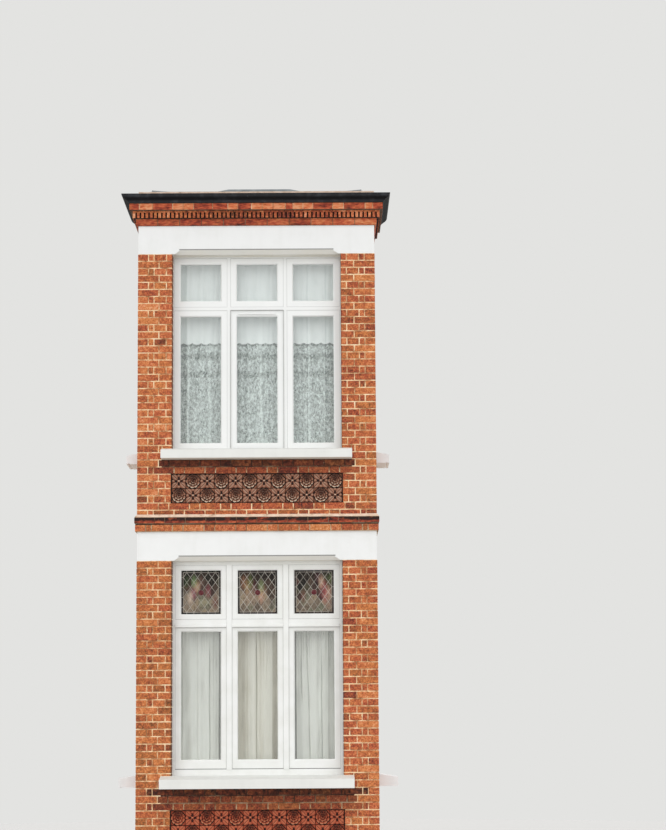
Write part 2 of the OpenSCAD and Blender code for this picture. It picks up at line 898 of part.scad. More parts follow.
// Rolls over the joints of the lead, along the hips and down the slopes
module lead_rolls() {
    z = deck_z + deck_t + lead_t;
    pitch = atan(roof_rise / roof_d);
    for (side = [-1, 1]) {
        hip = [-side * roof_d, roof_d, roof_rise];
        translate([side * roof_half_w, front_y + roof_in, z])
            rotate([0, acos(hip[2] / norm(hip)), atan2(hip[1], hip[0])])
                cylinder(r = roll_r, h = norm(hip), $fn = 24);
        translate([side * (roof_half_w - roof_d), front_y + roof_in, z]) rotate([pitch - 90, 0, 0])
            cylinder(r = roll_r, h = roof_d / cos(pitch), $fn = 24);
    }
}

module lead_roof() {
    color("#8d9194") difference() {
        union() {
            hipped(deck_z, lead_out - roof_in, deck_t + lead_t, roof_rise * (roof_d + lead_out) / roof_d);
            intersection() {
                lead_rolls();
                translate([-roof_half_w, front_y + roof_in, deck_z])
                    cube([2 * roof_half_w, roof_d, deck_t + roof_rise + roll_r + over]);
            }
            // Flashing turned up against the house wall
            translate([0, back_y, deck_z + deck_t]) rotate([90, 0, 0]) linear_extrude(lead_t)
                polygon([[-roof_half_w, 0], [roof_half_w, 0], [roof_half_w, flashing_h],
                         [roof_half_w - roof_d, roof_rise + flashing_h],
                         [roof_d - roof_half_w, roof_rise + flashing_h], [-roof_half_w, flashing_h]]);
        }
        hipped(deck_z, -roof_in, deck_t, roof_rise);
        translate([-roof_half_w, front_y + roof_in, deck_z - over])
            cube([2 * roof_half_w, roof_d + over, over + deck_t / 2]);
    }
}

// Floors, ceilings and window boards

// Joists that span from the front wall to the back
module joist_row(z, h) {
    pitch = (2 * half_in - joist_w) / (joists - 1);
    for (i = [0:joists - 1])
        translate([i * pitch - half_in, inner_y, z]) cube([joist_w, bay_d - wall_t, h]);
}

module room_slab(z, t) {
    translate([-half_in, inner_y, z]) cube([2 * half_in, bay_d - wall_t, t]);
}

module ground_floor() {
    color("#9a7448") {
        room_slab(ground_floor_z - board_t, board_t);
        joist_row(ground_floor_z - board_t - ground_joist_h, ground_joist_h);
    }
}

module first_floor() {
    base = ground_ceiling_z + plaster_t;
    color("#9a7448") {
        room_slab(first_floor_z - board_t, board_t);
        joist_row(base, first_floor_z - board_t - base);
    }
}

module ceilings() {
    color("#e8e4d8") {
        room_slab(ground_ceiling_z, plaster_t);
        room_slab(first_ceiling_z, plaster_t);
    }
}

module window_board(open_z, reveal, frame_d) {
    y0 = front_y + reveal + frame_d;
    translate([-half_open, y0, open_z]) cube([open_w, inner_y - y0 + window_board_out, window_board_t]);
    translate([window_board_gap - half_in, inner_y, open_z])
        cube([2 * (half_in - window_board_gap), window_board_out, window_board_t]);
}

module window_boards() {
    color(paint_white) {
        window_board(ground_open_z, timber_reveal, timber_d);
        window_board(first_open_z, pvc_reveal, pvc_d);
    }
}

// Curtains

ground_rod_z = ground_open_z + timber_transom_z + timber_transom - rod_drop;
first_rod_z = first_head_z - upper_rod_drop;
rod_y = inner_y + rod_out;

// A rod across the bay between sockets on its side walls
module curtain_rod(z) {
    translate([-half_in, rod_y, z]) rotate([0, 90, 0]) cylinder(r = rod_r, h = 2 * half_in);
    both_sides() translate([half_in - rod_socket_t, rod_y, z]) rotate([0, 90, 0])
        cylinder(r = rod_r * 2, h = rod_socket_t);
}

module curtain_rods() {
    color("#d8d6d0") {
        curtain_rod(ground_rod_z);
        curtain_rod(first_rod_z);
    }
}

// Curtains that hang from a rod, side by side
module curtains(count, open_z, rod_z) {
    pitch = open_w / count;
    bottom = open_z + window_board_t + curtain_gap;
    color("#e6e0cd") for (i = [0:count - 1])
        translate([-half_open + i * pitch + curtain_gap / 2, rod_y - curtain_t / 2, bottom])
            cube([pitch - curtain_gap, curtain_t, rod_z - rod_r - rod_play - bottom]);
}

module ground_curtains() {
    curtains(3, ground_open_z, ground_rod_z);
}

module first_curtains() {
    curtains(3, first_open_z, first_rod_z);
}

ground_front_apron();
ground_side_aprons();
ground_corner_piers();
ground_rear_jambs();
ground_front_lintel();
ground_side_lintels();
ground_front_sill();
ground_side_sills();
ground_tile_panel();
ground_window_frames();
ground_casements();
ground_top_lights();
ground_glass();
ground_leaded_glass();
ground_curtains();
ground_floor();
string_course();
cement_weatherings();
first_front_apron();
first_side_aprons();
first_corner_piers();
first_rear_jambs();
first_front_lintel();
first_side_lintels();
first_front_sill();
first_side_sills();
first_tile_panel();
first_window_frames();
first_casements();
first_top_lights();
first_glass();
first_curtains();
first_floor();
window_boards();
curtain_rods();
ceilings();
cornice_moulding();
dentil_course();
cornice_cap();
eaves_course();
gutter_front();
gutter_sides();
gutter_boards();
roof_timbers();
lead_roof();
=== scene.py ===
"""Dresses the two-storey box bay window, from its brickwork and windows to its cornice and lead roof.

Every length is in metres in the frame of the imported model: +Z up, and the street front faces -Y.
"""
import logging
import math
import random
from dataclasses import dataclass, field, replace
from enum import Enum
from functools import partial
from typing import Any, Callable, Sequence

import bpy
import numpy as np
from bpy.types import Material, Node, NodeSocket, NodeTree, Object
from mathutils import Matrix, Vector


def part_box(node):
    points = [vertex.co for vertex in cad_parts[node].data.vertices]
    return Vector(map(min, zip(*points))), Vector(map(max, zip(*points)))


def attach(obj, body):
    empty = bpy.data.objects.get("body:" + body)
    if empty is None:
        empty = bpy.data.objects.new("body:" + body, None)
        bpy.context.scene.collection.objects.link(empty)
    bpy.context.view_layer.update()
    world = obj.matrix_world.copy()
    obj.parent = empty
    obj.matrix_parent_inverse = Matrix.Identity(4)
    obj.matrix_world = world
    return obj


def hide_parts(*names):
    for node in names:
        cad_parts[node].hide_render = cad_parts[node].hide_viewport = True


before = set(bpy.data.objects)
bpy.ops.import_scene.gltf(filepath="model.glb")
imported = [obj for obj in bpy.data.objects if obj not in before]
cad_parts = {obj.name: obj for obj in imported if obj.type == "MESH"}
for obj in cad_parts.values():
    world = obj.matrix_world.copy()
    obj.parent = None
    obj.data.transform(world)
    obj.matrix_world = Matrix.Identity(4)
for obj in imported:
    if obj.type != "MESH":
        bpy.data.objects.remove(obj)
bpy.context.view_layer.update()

LOG = logging.getLogger("bay_window")
MM = 0.001

Pair = tuple[float, float]
Point = tuple[float, float, float]
Lengths = Sequence[float]
Ramp = tuple[tuple[float, str], ...]
Adder = Callable[..., Node]
Surface = dict[str, Any]


# Small helpers


def linear(colour: str) -> tuple[float, float, float, float]:
    """Turns an sRGB hex colour into the linear one that a node takes.

    Args:
        colour: the colour as #rrggbb.

    Returns:
        Linear red, green and blue, and an alpha of 1.
    """
    parts = [int(colour[i : i + 2], 16) / 255 for i in (1, 3, 5)]
    red, green, blue = [c / 12.92 if c <= 0.04045 else ((c + 0.055) / 1.055) ** 2.4 for c in parts]
    return red, green, blue, 1.0


def add(tree: NodeTree, kind: str, *values: Any, ramp: Ramp = (), **named: Any) -> Node:
    """Adds a node with its settings and links.

    Args:
        tree: the node tree.
        kind: a Math operation in capitals, "mix" for a mix of two colours by a share, "band" for a
            smooth rise from 0 to 1 between two values, or else the node's type, where a shader
            node's leaves out its prefix.
        *values: what the node's open inputs get, in their order. A node stands for its first open
            output, and text for a hex colour.
        ramp: positions and hex colours of a colour ramp.
        **named: inputs by name, which starts with a capital, and the node's own properties.

    Returns:
        The new node.
    """
    settings = {name: value for name, value in named.items() if name[0].islower()}
    if kind.isupper():
        kind, settings = "Math", {"operation": kind, **settings}
    elif kind == "mix":
        kind, settings = "Mix", {"data_type": "RGBA"}
    elif kind == "band":
        kind, settings = "MapRange", {"interpolation_type": "SMOOTHSTEP"}
    made = tree.nodes.new(kind if "Node" in kind else "ShaderNode" + kind)
    for name, value in settings.items():
        setattr(made, name, value)
    given = list(zip([socket for socket in made.inputs if socket.enabled], values))
    given += [(made.inputs[name.replace("_", " ")], named[name]) for name in named if name[0].isupper()]
    for socket, value in given:
        if isinstance(value, Node):
            value = next(output for output in value.outputs if output.enabled)
        if isinstance(value, NodeSocket):
            tree.links.new(value, socket)
        else:
            socket.default_value = linear(value) if isinstance(value, str) and value[0] == "#" else value
    if ramp:
        stops = made.color_ramp.elements
        while len(stops) < len(ramp):
            stops.new(1.0)
        for stop, (place, colour) in zip(stops, ramp):
            stop.position, stop.color = place, linear(colour)
    return made


@dataclass
class Draft:
    """Corners, faces and marks of a mesh that is being made."""

    corners: list[Point] = field(default_factory=list)
    faces: list[tuple[int, ...]] = field(default_factory=list)
    marks: dict[str, list[Any]] = field(default_factory=dict)

    def add(self, corners: Sequence[Point], faces: Sequence[Sequence[int]], **marks: Any) -> None:
        """Adds a shape.

        Args:
            corners: its corners.
            faces: its faces, as places in corners.
            **marks: a value for each mark that its corners carry.
        """
        start = len(self.corners)
        self.corners.extend(tuple(float(c) for c in p) for p in corners)
        self.faces.extend(tuple(start + i for i in face) for face in faces)
        for name, value in marks.items():
            self.marks.setdefault(name, []).extend([value] * len(corners))

    def prism(self, start: Sequence[Point], end: Sequence[Point], **marks: Any) -> None:
        """Adds a solid between two outlines that run anticlockwise as seen from beyond the end.

        Args:
            start: corners of the outline where it starts.
            end: corners of the outline where it ends.
            **marks: as for add.
        """
        n = len(start)
        sides = [(i, (i + 1) % n, n + (i + 1) % n, n + i) for i in range(n)]
        self.add([*start, *end], [tuple(range(n - 1, -1, -1)), tuple(range(n, 2 * n)), *sides], **marks)

    def build(self, name: str) -> Object:
        """Makes the mesh and its object.

        Args:
            name: the object's name.

        Returns:
            The object, at the origin, linked to the scene.
        """
        mesh = bpy.data.meshes.new(name)
        mesh.from_pydata(self.corners, [], self.faces)
        for mark, values in self.marks.items():
            vector = isinstance(values[0], tuple)
            data = mesh.attributes.new(mark, "FLOAT_VECTOR" if vector else "FLOAT", "POINT")
            data.data.foreach_set("vector" if vector else "value", np.array(values, dtype=float).ravel())
        mesh.update()
        made = bpy.data.objects.new(name, mesh)
        bpy.context.scene.collection.objects.link(made)
        return made


def wear(rough: Object, width: float, least: float = 30.0) -> None:
    """Bevels the edges at which an object's faces turn by more than a number of degrees."""
    edge = rough.modifiers.new("arris", "BEVEL")
    edge.width, edge.segments, edge.limit_method, edge.angle_limit = width, 1, "ANGLE", math.radians(least)


def settled(rough: Object) -> Object:
    """Turns an object with modifiers into a plain mesh and removes the rough one.

    Args:
        rough: the object with its modifiers.

    Returns:
        An object of the same name without modifiers.
    """
    name = rough.name
    graph = bpy.context.evaluated_depsgraph_get()
    shape = rough.evaluated_get(graph)
    mesh = bpy.data.meshes.new_from_object(shape, preserve_all_data_layers=True, depsgraph=graph)
    bpy.data.objects.remove(rough)
    mesh.name = name
    made = bpy.data.objects.new(name, mesh)
    bpy.context.scene.collection.objects.link(made)
    return made


def place_piece(piece: Object, finish: Material, stands_for: Sequence[str] = ()) -> None:
    """Gives a finished piece its material and body, and hides the nodes that it stands for.

    Args:
        piece: the finished piece.
        finish: its material.
        stands_for: CAD nodes that it replaces.
    """
    piece.data.materials.clear()
    piece.data.materials.append(finish)
    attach(piece, "root")
    if stands_for:
        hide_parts(*stands_for)
    LOG.info("%s: %d faces", piece.name, len(piece.data.polygons))


def dress(finish: Material, *nodes: str) -> None:
    """Gives CAD nodes a material on their own slots.

    Args:
        finish: the material.
        *nodes: the nodes' names.
    """
    for name in nodes:
        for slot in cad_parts[name].material_slots:
            slot.material = finish
        LOG.info("%s: %s", name, finish.name)


def solids(node: str) -> list[tuple[Vector, Vector]]:
    """Lists the boxes of a node's separate solids.

    Args:
        node: the CAD node.

    Returns:
        The lowest and highest corner of each solid, from left to right.
    """
    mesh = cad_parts[node].data
    corners = [tuple(round(c, 5) for c in v.co) for v in mesh.vertices]
    root = {p: p for p in corners}

    def head(p: Point) -> Point:
        """Follows the links from a corner to the one that stands for its solid.

        Args:
            p: the corner.

        Returns:
            The corner that stands for its solid.
        """
        while root[p] != p:
            root[p] = root[root[p]]
            p = root[p]
        return p

    for edge in mesh.edges:
        a, b = (head(corners[i]) for i in edge.vertices)
        root[a] = b
    groups: dict[Point, list[Point]] = {}
    for p in root:
        groups.setdefault(head(p), []).append(p)
    boxes = [(Vector(map(min, zip(*g))), Vector(map(max, zip(*g)))) for g in groups.values()]
    return sorted(boxes, key=lambda box: (round(box[0].x, 3), round(box[0].z, 3)))


class Facing(Enum):
    """The wall that a piece is made for, with its turn about Z in degrees."""

    FRONT = 0
    RIGHT = 90
    LEFT = -90

    def turned(self, along: float, inward: float, up: float) -> Point:
        """Turns a place on the front to this wall.

        Args:
            along: its distance to the right of the wall's middle.
            inward: its distance into the wall.
            up: its height.

        Returns:
            The place.
        """
        angle = math.radians(self.value)
        x = along * math.cos(angle) - inward * math.sin(angle)
        return x, along * math.sin(angle) + inward * math.cos(angle), up


def edge_of(node: str, end: str, axis: str) -> Any:
    """Makes a dataclass field that is read from the low or high end of a node's box."""
    return field(default_factory=lambda: getattr(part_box(node)[end == "high"], axis))


@dataclass(frozen=True)
class Bay:
    """Main lines of the bay, each read from the box of a CAD node."""

    half_w: float = edge_of("ground_front_apron", "high", "x")
    half_in: float = edge_of("ceilings", "high", "x")
    half_open: float = edge_of("ground_tile_panel", "high", "x")
    front_y: float = edge_of("ground_front_apron", "low", "y")
    inner_y: float = edge_of("ground_front_apron", "high", "y")
    back_y: float = edge_of("ground_side_aprons", "high", "y")
    side_y0: float = edge_of("ground_corner_piers", "high", "y")
    side_y1: float = edge_of("ground_rear_jambs", "low", "y")
    ground_panel_z: float = edge_of("ground_tile_panel", "low", "z")
    ground_sill_z: float = edge_of("ground_front_sill", "low", "z")
    ground_open_z: float = edge_of("ground_front_sill", "high", "z")
    ground_head_z: float = edge_of("ground_front_lintel", "low", "z")
    string_z: float = edge_of("string_course", "low", "z")
    string_top_z: float = edge_of("string_course", "high", "z")
    apron_z: float = edge_of("first_front_apron", "low", "z")
    first_panel_z: float = edge_of("first_tile_panel", "low", "z")
    first_sill_z: float = edge_of("first_front_sill", "low", "z")
    first_open_z: float = edge_of("first_front_sill", "high", "z")
    first_head_z: float = edge_of("first_front_lintel", "low", "z")
    cornice_z: float = edge_of("cornice_moulding", "low", "z")
    dentil_z: float = edge_of("dentil_course", "low", "z")
    cap_z: float = edge_of("cornice_cap", "low", "z")
    eaves_z: float = edge_of("eaves_course", "low", "z")

    @property
    def course(self) -> float:
        """Height of one brick course with its joint."""
        return self.string_top_z / 2 - self.string_z / 2


# Finishes


@dataclass(frozen=True)
class Finish:
    """A finish: its name and how rough its surface is."""

    name: str
    roughness: float

    def build(self) -> Material:
        """Builds the material.

        Returns:
            The material, whose patterns read Object coordinates in metres.
        """
        material = bpy.data.materials.new(self.name)
        material.use_nodes = True
        material.node_tree.nodes.clear()
        node = partial(add, material.node_tree)
        surface = self.surface(node, node("TexCoord").outputs["Object"])
        if "Relief" in surface:
            height, depth, strength = surface.pop("Relief")
            surface["Normal"] = node("Bump", Height=height, Distance=depth * MM, Strength=strength)
        shader = node("BsdfPrincipled", Roughness=self.roughness, **surface)
        node("OutputMaterial", self.covered(node, shader))
        return material

    def surface(self, node: Adder, place: NodeSocket) -> Surface:
        """Draws the finish.

        Args:
            node: adds a node to the material.
            place: the Object coordinates in metres.

        Returns:
            The shader's inputs by name, and under Relief the height of the relief, its real depth in
            millimetres and its strength.
        """
        raise NotImplementedError

    def covered(self, node: Adder, shader: Node) -> Node:
        """Gives the shader that the output shows."""
        return shader


def spots(
    node: Adder, place: Any, size: float, detail: float = 3.0, stretch: Point = (1, 1, 1), rough: float = 0.5
) -> Node:
    """Adds soft spots of a real size.

    Args:
        node: adds a node to the material.
        place: the coordinates in metres.
        size: size of the spots in millimetres.
        detail: how many finer layers they have.
        stretch: how much finer the spots are along each axis.
        rough: how strong the finer layers are.

    Returns:
        A value around 0.5.
    """
    turned = node("Mapping", place, Scale=stretch)
    return node("TexNoise", turned, 1 / (size * MM), detail, rough)


def varied(node: Adder, value: Any, layer: Any, weight: float, clamp: bool = False) -> Node:
    """Varies a value by a weighted layer around 0.5."""
    return node("MULTIPLY_ADD", node("SUBTRACT", layer, 0.5), weight, value, use_clamp=clamp)


def lime(node: Adder, place: Any) -> Node:
    """Adds the tone of lime mortar: bright cream, with olive dirt in patches and gritty sand of 4 mm.

    Args:
        node: adds a node to the material.
        place: the coordinates in metres.

    Returns:
        The colour.
    """
    value = varied(node, spots(node, place, 80, 4, rough=0.65), spots(node, place, 4, 2), 0.35)
    ramp = ((0.34, "#9a6a44"), (0.45, "#d0a277"), (0.55, "#f4d3a6"), (0.7, "#fdeac8"))
    return node("ValToRGB", value, ramp=ramp)


def soot_and_shade_beds(node: Adder, place: Any, bay: Bay) -> Node:
    """Finds the beds darkened by painted shade, and by soot on the moulded course.

    Args:
        node: adds a node to the material.
        place: the coordinates in metres.
        bay: lines of the bay.

    Returns:
        1 within 13 mm of a tile panel, as painted shadow of its recess, and up to that in the beds under the
        projecting courses, as painted shadow lines.
    """
    x, _, z = node("SeparateXYZ", place).outputs
    across = node("SUBTRACT", node("ABSOLUTE", x), bay.half_open)
    found: Any = 0.0
    for foot in (bay.ground_panel_z, bay.first_panel_z):
        off = node("ABSOLUTE", node("SUBTRACT", z, foot + 2 * bay.course))
        outside = node("MAXIMUM", across, node("SUBTRACT", off, 2 * bay.course))
        found = node("MAXIMUM", found, node("band", outside, 13 * MM, 9 * MM))
    moulded_z = bay.string_z + bay.course
    for bed in (moulded_z, bay.cap_z, bay.eaves_z):
        off = node("ABSOLUTE", node("SUBTRACT", z, bed))
        found = node("MAXIMUM", found, node("MULTIPLY", node("band", off, 8 * MM, 6 * MM), 0.85))
    # The moulded course under the string course's ledge is darkened right through: soot, and painted shade of
    # the ledge
    moulded = node("MULTIPLY", node("band", z, moulded_z, moulded_z + MM), 0.6)
    moulded = node("MULTIPLY", moulded, node("LESS_THAN", z, bay.apron_z - MM))
    return node("MAXIMUM", found, moulded)


@dataclass(frozen=True)
class FiredBrick(Finish):
    """Pressed facing brick, fired in a kiln: sandy and matt, from maroon near the fire to orange."""

    bay: Bay
    red: Ramp = (
        (0.0, "#3f1d15"), (0.2, "#6d2f22"), (0.45, "#a04b2f"),
        (0.65, "#c2653d"), (0.85, "#d88355"), (1.0, "#e39b7b"),
    )
    orange: Ramp = (
        (0.0, "#4f3219"), (0.2, "#7d4f2a"), (0.45, "#ad6537"),
        (0.65, "#cd7c44"), (0.85, "#df925a"), (1.0, "#eab184"),
    )
    smeared: float = 0.9
    drawn: Point = (1, 1, 1)

    def marks(self, node: Adder, place: Any) -> tuple[Any, Any, Any, Any]:
        """Reads what a laid brick carries.

        Args:
            node: adds a node to the material.
            place: the coordinates in metres.

        Returns:
            Its tone, its warmth, its soot, which also carries painted shade, and the distance to its nearest
            arris.
        """
        tone, warm, soot, centre, module = [
            node("Attribute", attribute_name=mark).outputs[output]
            for mark, output in (("tone", 2), ("warm", 2), ("soot", 2), ("centre", 1), ("module", 1))
        ]
        away = node("VectorMath", place, centre, operation="SUBTRACT")
        away = node("VectorMath", away, operation="ABSOLUTE")
        half = node("VectorMath", module, 0.5, operation="SCALE")
        room = node("VectorMath", half, away, operation="SUBTRACT")
        a, b, c = node("SeparateXYZ", room).outputs
        # The smallest of the three is the depth of the face itself, so the middle one is what counts
        low, high = node("MINIMUM", a, b), node("MAXIMUM", a, b)
        return tone, warm, soot, node("MAXIMUM", low, node("MINIMUM", high, c))

    def surface(self, node: Adder, place: NodeSocket) -> Surface:
        """Draws kiln tones, smeared mortar, soot with painted shade, and a sandy grain."""
        bay = self.bay
        tone, warm, soot, edge = self.marks(node, place)
        # Kiln marks about 45 mm across, blotches of 16 mm, and sand grains of 1 mm, drawn at 3 mm to show
        cloud = spots(node, place, 45, 4, self.drawn, 0.6)
        blotch = spots(node, place, 16, 3, self.drawn)
        sand = spots(node, place, 3, 2)
        shade = tone
        for layer, weight in ((cloud, 1.05), (blotch, 1.25), (sand, 0.45)):
            shade = varied(node, shade, layer, weight)
        warmth = varied(node, warm, spots(node, place, 55, 3), 1.8, clamp=True)
        kilns = [node("ValToRGB", shade, ramp=tones) for tones in (self.red, self.orange)]
        # Mortar smeared over worn arrises, up to 5 mm in
        ragged = varied(node, edge, spots(node, place, 20, 4, rough=0.65), 26 * MM)
        clear = node("SUBTRACT", self.smeared, soot_and_shade_beds(node, place, bay), use_clamp=True)
        smear = node("MULTIPLY", node("band", ragged, 6.5 * MM, 3.5 * MM), clear)
        fired = node("mix", smear, node("mix", warmth, *kilns), lime(node, place))
        # Soot in smoky patches; under the sills and between the dentils it also stands for painted shade
        smoke = node("MULTIPLY_ADD", spots(node, place, 38, 3), 1.3, 0.15)
        dark = node("MULTIPLY", soot, smoke, use_clamp=True)
        # The jambs inside the openings are darkened as painted shade of the reveals
        x, y, z = node("SeparateXYZ", place).outputs
        reveal_shade = node("band", node("ABSOLUTE", x), bay.half_open + 9 * MM, bay.half_open - 2 * MM)
        reveal_shade = node("MULTIPLY", reveal_shade, node("LESS_THAN", y, bay.inner_y))
        for foot, head in ((bay.ground_open_z, bay.ground_head_z), (bay.first_open_z, bay.first_head_z)):
            over, under = node("band", z, foot, foot + MM), node("band", z, head, head - MM)
            beside = node("MULTIPLY", reveal_shade, node("MULTIPLY", over, under))
            dark = node("MAXIMUM", dark, node("MULTIPLY", beside, 0.7))
        grain = node("MULTIPLY_ADD", cloud, 2.0, sand)
        return {"Base Color": node("mix", dark, fired, "#250f09"), "Relief": (grain, 0.8, 0.7)}


@dataclass(frozen=True)
class StainedBrick(FiredBrick):
    """Moulded brick under a ledge: soot runs down from it in black patches, with painted shade under the
    ledge.
    """

    ledge_z: float = 0.0

    def marks(self, node: Adder, place: Any) -> tuple[Any, Any, Any, Any]:
        """Gathers soot and painted shade in patches about 110 mm long under the ledge."""
        tone, warm, _, edge = super().marks(node, place)
        z = node("SeparateXYZ", place).outputs[2]
        # The band just under the ledge, where its shadow falls: soot and painted shade
        under = node("band", z, self.ledge_z - 56 * MM, self.ledge_z - 26 * MM)
        patch = node("band", spots(node, place, 110, 3, stretch=(1, 1, 2)), 0.3, 0.52)
        return tone, warm, node("MULTIPLY", node("MULTIPLY", patch, under), 1.6), edge


@dataclass(frozen=True)
class DentilBrick(FiredBrick):
    """Moulded dentil brick: the same clay, darkened between its blocks by soot and painted shade."""

    pitch: float = 45.6 * MM

    def marks(self, node: Adder, place: Any) -> tuple[Any, Any, Any, Any]:
        """Takes each block's tone from its cell along the wall, and its soot and painted shade from its
        depth.
        """
        x, y, _ = node("SeparateXYZ", place).outputs
        along = node("ADD", x, y)
        tone: Any = 0.26
        for cells, weight in ((5.2, 0.35), (1.0, 0.3)):
            cell = node("FLOOR", node("DIVIDE", along, cells * self.pitch))
            draw = node("TexWhiteNoise", cell, noise_dimensions="1D")
            tone = node("MULTIPLY_ADD", draw, weight, tone)
        # The deeper between the blocks, the darker: painted shade, with soot
        beyond = node("SUBTRACT", node("ABSOLUTE", x), self.bay.half_w)
        out = node("MAXIMUM", beyond, node("SUBTRACT", self.bay.front_y, y))
        soot = node("MULTIPLY", node("band", out, 55 * MM, 45 * MM), 2.2)
        # Orange left of the middle, redder towards the right
        warm = node("MULTIPLY_ADD", node("band", x, 0.3, -0.5), 0.3, 0.02)
        return tone, warm, soot, node("ADD", out, 1.0)


@dataclass(frozen=True)
class LimeMortar(Finish):
    """Lime mortar, struck flush between bricks: cream and gritty. Indoors the walls are plastered."""

    bay: Bay
    grime: float = 0.0

    def surface(self, node: Adder, place: NodeSocket) -> Surface:
        """Draws mortar outside, with soot and painted shade in places, plaster inside and cut brickwork at
        the open back.
        """
        bay = self.bay
        x, y, z = node("SeparateXYZ", place).outputs
        across = node("ABSOLUTE", x)
        cloud = spots(node, place, 130, 4)
        mortar = node("mix", self.grime, lime(node, place), "#3a2219")
        # Near black around the tile panels and in the beds under the projecting courses: painted shade, with
        # soot on the moulded course
        mortar = node("mix", soot_and_shade_beds(node, place, bay), mortar, "#2c150d")
        # Soot, and painted shade, on the courses under the sills
        near = node("LESS_THAN", across, bay.half_open + 105 * MM)
        patchy = node("MULTIPLY_ADD", cloud, 0.9, 0.6)
        for top, reach in ((bay.first_sill_z, 170 * MM), (bay.ground_sill_z, 320 * MM)):
            rise = node("band", z, top - reach, top - 50 * MM)
            below = node("MULTIPLY", rise, node("LESS_THAN", z, top + MM))
            dark = node("MULTIPLY", node("MULTIPLY", below, near), patchy, use_clamp=True)
            mortar = node("mix", dark, mortar, "#3c2219")
        plaster = node("mix", cloud, "#ddd6c6", "#ebe5d8")
        between = node("LESS_THAN", across, bay.half_in + MM)
        inside = node("MULTIPLY", between, node("GREATER_THAN", y, bay.inner_y - MM))
        flat = node("CombineXYZ", x, z)
        cut = node(
            "TexBrick", flat, "#b5603c", "#8a3f2c", "#cdb08a", 1.0, 5 * MM, 0.1,
            Brick_Width=114.5 * MM, Row_Height=bay.course, offset=0.5,
        )
        ends = node("GREATER_THAN", y, bay.back_y - 0.5 * MM)
        return {
            "Base Color": node("mix", ends, node("mix", inside, mortar, plaster), cut),
            "Relief": (spots(node, place, 4, 2), 0.6, 0.6),
        }


@dataclass(frozen=True)
class MasonryPaint(Finish):
    """Masonry paint on stone: matt white and rain-streaked, with dust and painted shade under its edges."""

    bay: Bay
    tones: tuple[str, str, str]
    chamfer: float = 43 * MM

    def surface(self, node: Adder, place: NodeSocket) -> Surface:
        """Draws streaks, a painted shadow line over each chamfer, and dust with painted shade on the faces
        that look down.
        """
        bay = self.bay
        streak = spots(node, place, 60, 3, stretch=(1, 1, 0.15))
        cloud = spots(node, place, 220, 3)
        value = node("MULTIPLY_ADD", cloud, 0.65, node("MULTIPLY", streak, 0.35))
        paint = node("ValToRGB", value, ramp=tuple(zip((0.3, 0.5, 0.7), self.tones)))
        x, _, z = node("SeparateXYZ", place).outputs
        _, ahead, up = node("SeparateXYZ", node("NewGeometry").outputs["Normal"]).outputs
        across = node("ABSOLUTE", x)
        span = node("band", across, bay.half_open - 70 * MM, bay.half_open - 80 * MM)
        span = node("MULTIPLY", span, node("LESS_THAN", ahead, -0.9))
        # A dark line over each chamfer on the fronts: painted shadow of a quirk
        for head in (bay.first_head_z, bay.ground_head_z):
            off = node("ABSOLUTE", node("SUBTRACT", z, head + self.chamfer + 5 * MM))
            quirk_shadow = node("MULTIPLY", node("band", off, 8 * MM, 4 * MM), span)
            paint = node("mix", node("MULTIPLY", quirk_shadow, 0.85), paint, "#5d5c57")
        # Beige on the faces that look down: dust and painted shade
        under = node("band", up, -0.35, -0.95)
        grime = node("MULTIPLY", under, node("MULTIPLY_ADD", cloud, 0.5, 0.15), use_clamp=True)
        return {
            "Base Color": node("mix", grime, paint, "#dfd4b4"),
            "Relief": (spots(node, place, 6, 3), 0.3, 0.5),
        }


@dataclass(frozen=True)
class PressedTerracotta(Finish):
    """Unglazed pressed terracotta: burnt red, with a painted highlight and dust on its ledges, and painted
    shade in its hollows.
    """

    tones: Ramp
    # dust: colour of the painted highlight, with some dust, on ledges that face up
    dust: str
    dust_and_highlight: float

    def surface(self, node: Adder, place: NodeSocket) -> Surface:
        """Draws the clay by the relief of the tiles and by which way it faces."""
        high = node("Attribute", attribute_name="relief").outputs["Fac"]
        grain = spots(node, place, 4, 2)
        # Dark in the hollows and pale on the crests, by the relief's height: painted shade and painted
        # highlight
        value = varied(node, high, spots(node, place, 50, 4, rough=0.6), 0.8)
        clay = node("ValToRGB", varied(node, value, grain, 0.3), ramp=self.tones)
        up = node("SeparateXYZ", node("NewGeometry").outputs["Normal"]).outputs[2]
        # Pale on crests that face up: painted highlight, with some dust
        ledge = node("MULTIPLY", self.dust_and_highlight, node("band", high, 0.4, 0.85))
        ledge = node("MULTIPLY", node("band", up, 0.05, 0.4), ledge)
        clay = node("mix", ledge, clay, self.dust)
        # Near black on faces that look down: painted shade
        under = node("MULTIPLY", node("band", up, -0.12, -0.5), 0.85)
        return {"Base Color": node("mix", under, clay, "#2a0d07"), "Relief": (grain, 0.5, 0.6)}


@dataclass(frozen=True)
class WhitePaint(Finish):
    """Gloss paint brushed over planed timber: smooth, faintly ridged along the grain, with a faint film of
    dust.
    """

    def surface(self, node: Adder, place: NodeSocket) -> Surface:
        """Draws a faint film of dust, and brush marks about 1.5 mm apart, drawn at 4 mm to show."""
        cloud = spots(node, place, 180, 4)
        brushed = spots(node, place, 4, 2, stretch=(1, 1, 0.08))
        return {
            "Base Color": node("ValToRGB", cloud, ramp=((0.35, "#e9eae6"), (0.65, "#f1f2f0"))),
            "Relief": (brushed, 0.25, 0.35),
        }


@dataclass(frozen=True)
class SmoothCoat(Finish):
    """A smooth pale coat, clouded between two tones, over a faintly uneven ground."""

    tones: tuple[str, str]
    cloud: Pair
    ground: Pair
    relief: Pair

    def surface(self, node: Adder, place: NodeSocket) -> Surface:
        """Draws the clouds and the ground, each by the size and detail of its spots."""
        return {
            "Base Color": node("mix", spots(node, place, *self.cloud), *self.tones),
            "Relief": (spots(node, place, *self.ground), *self.relief),
        }


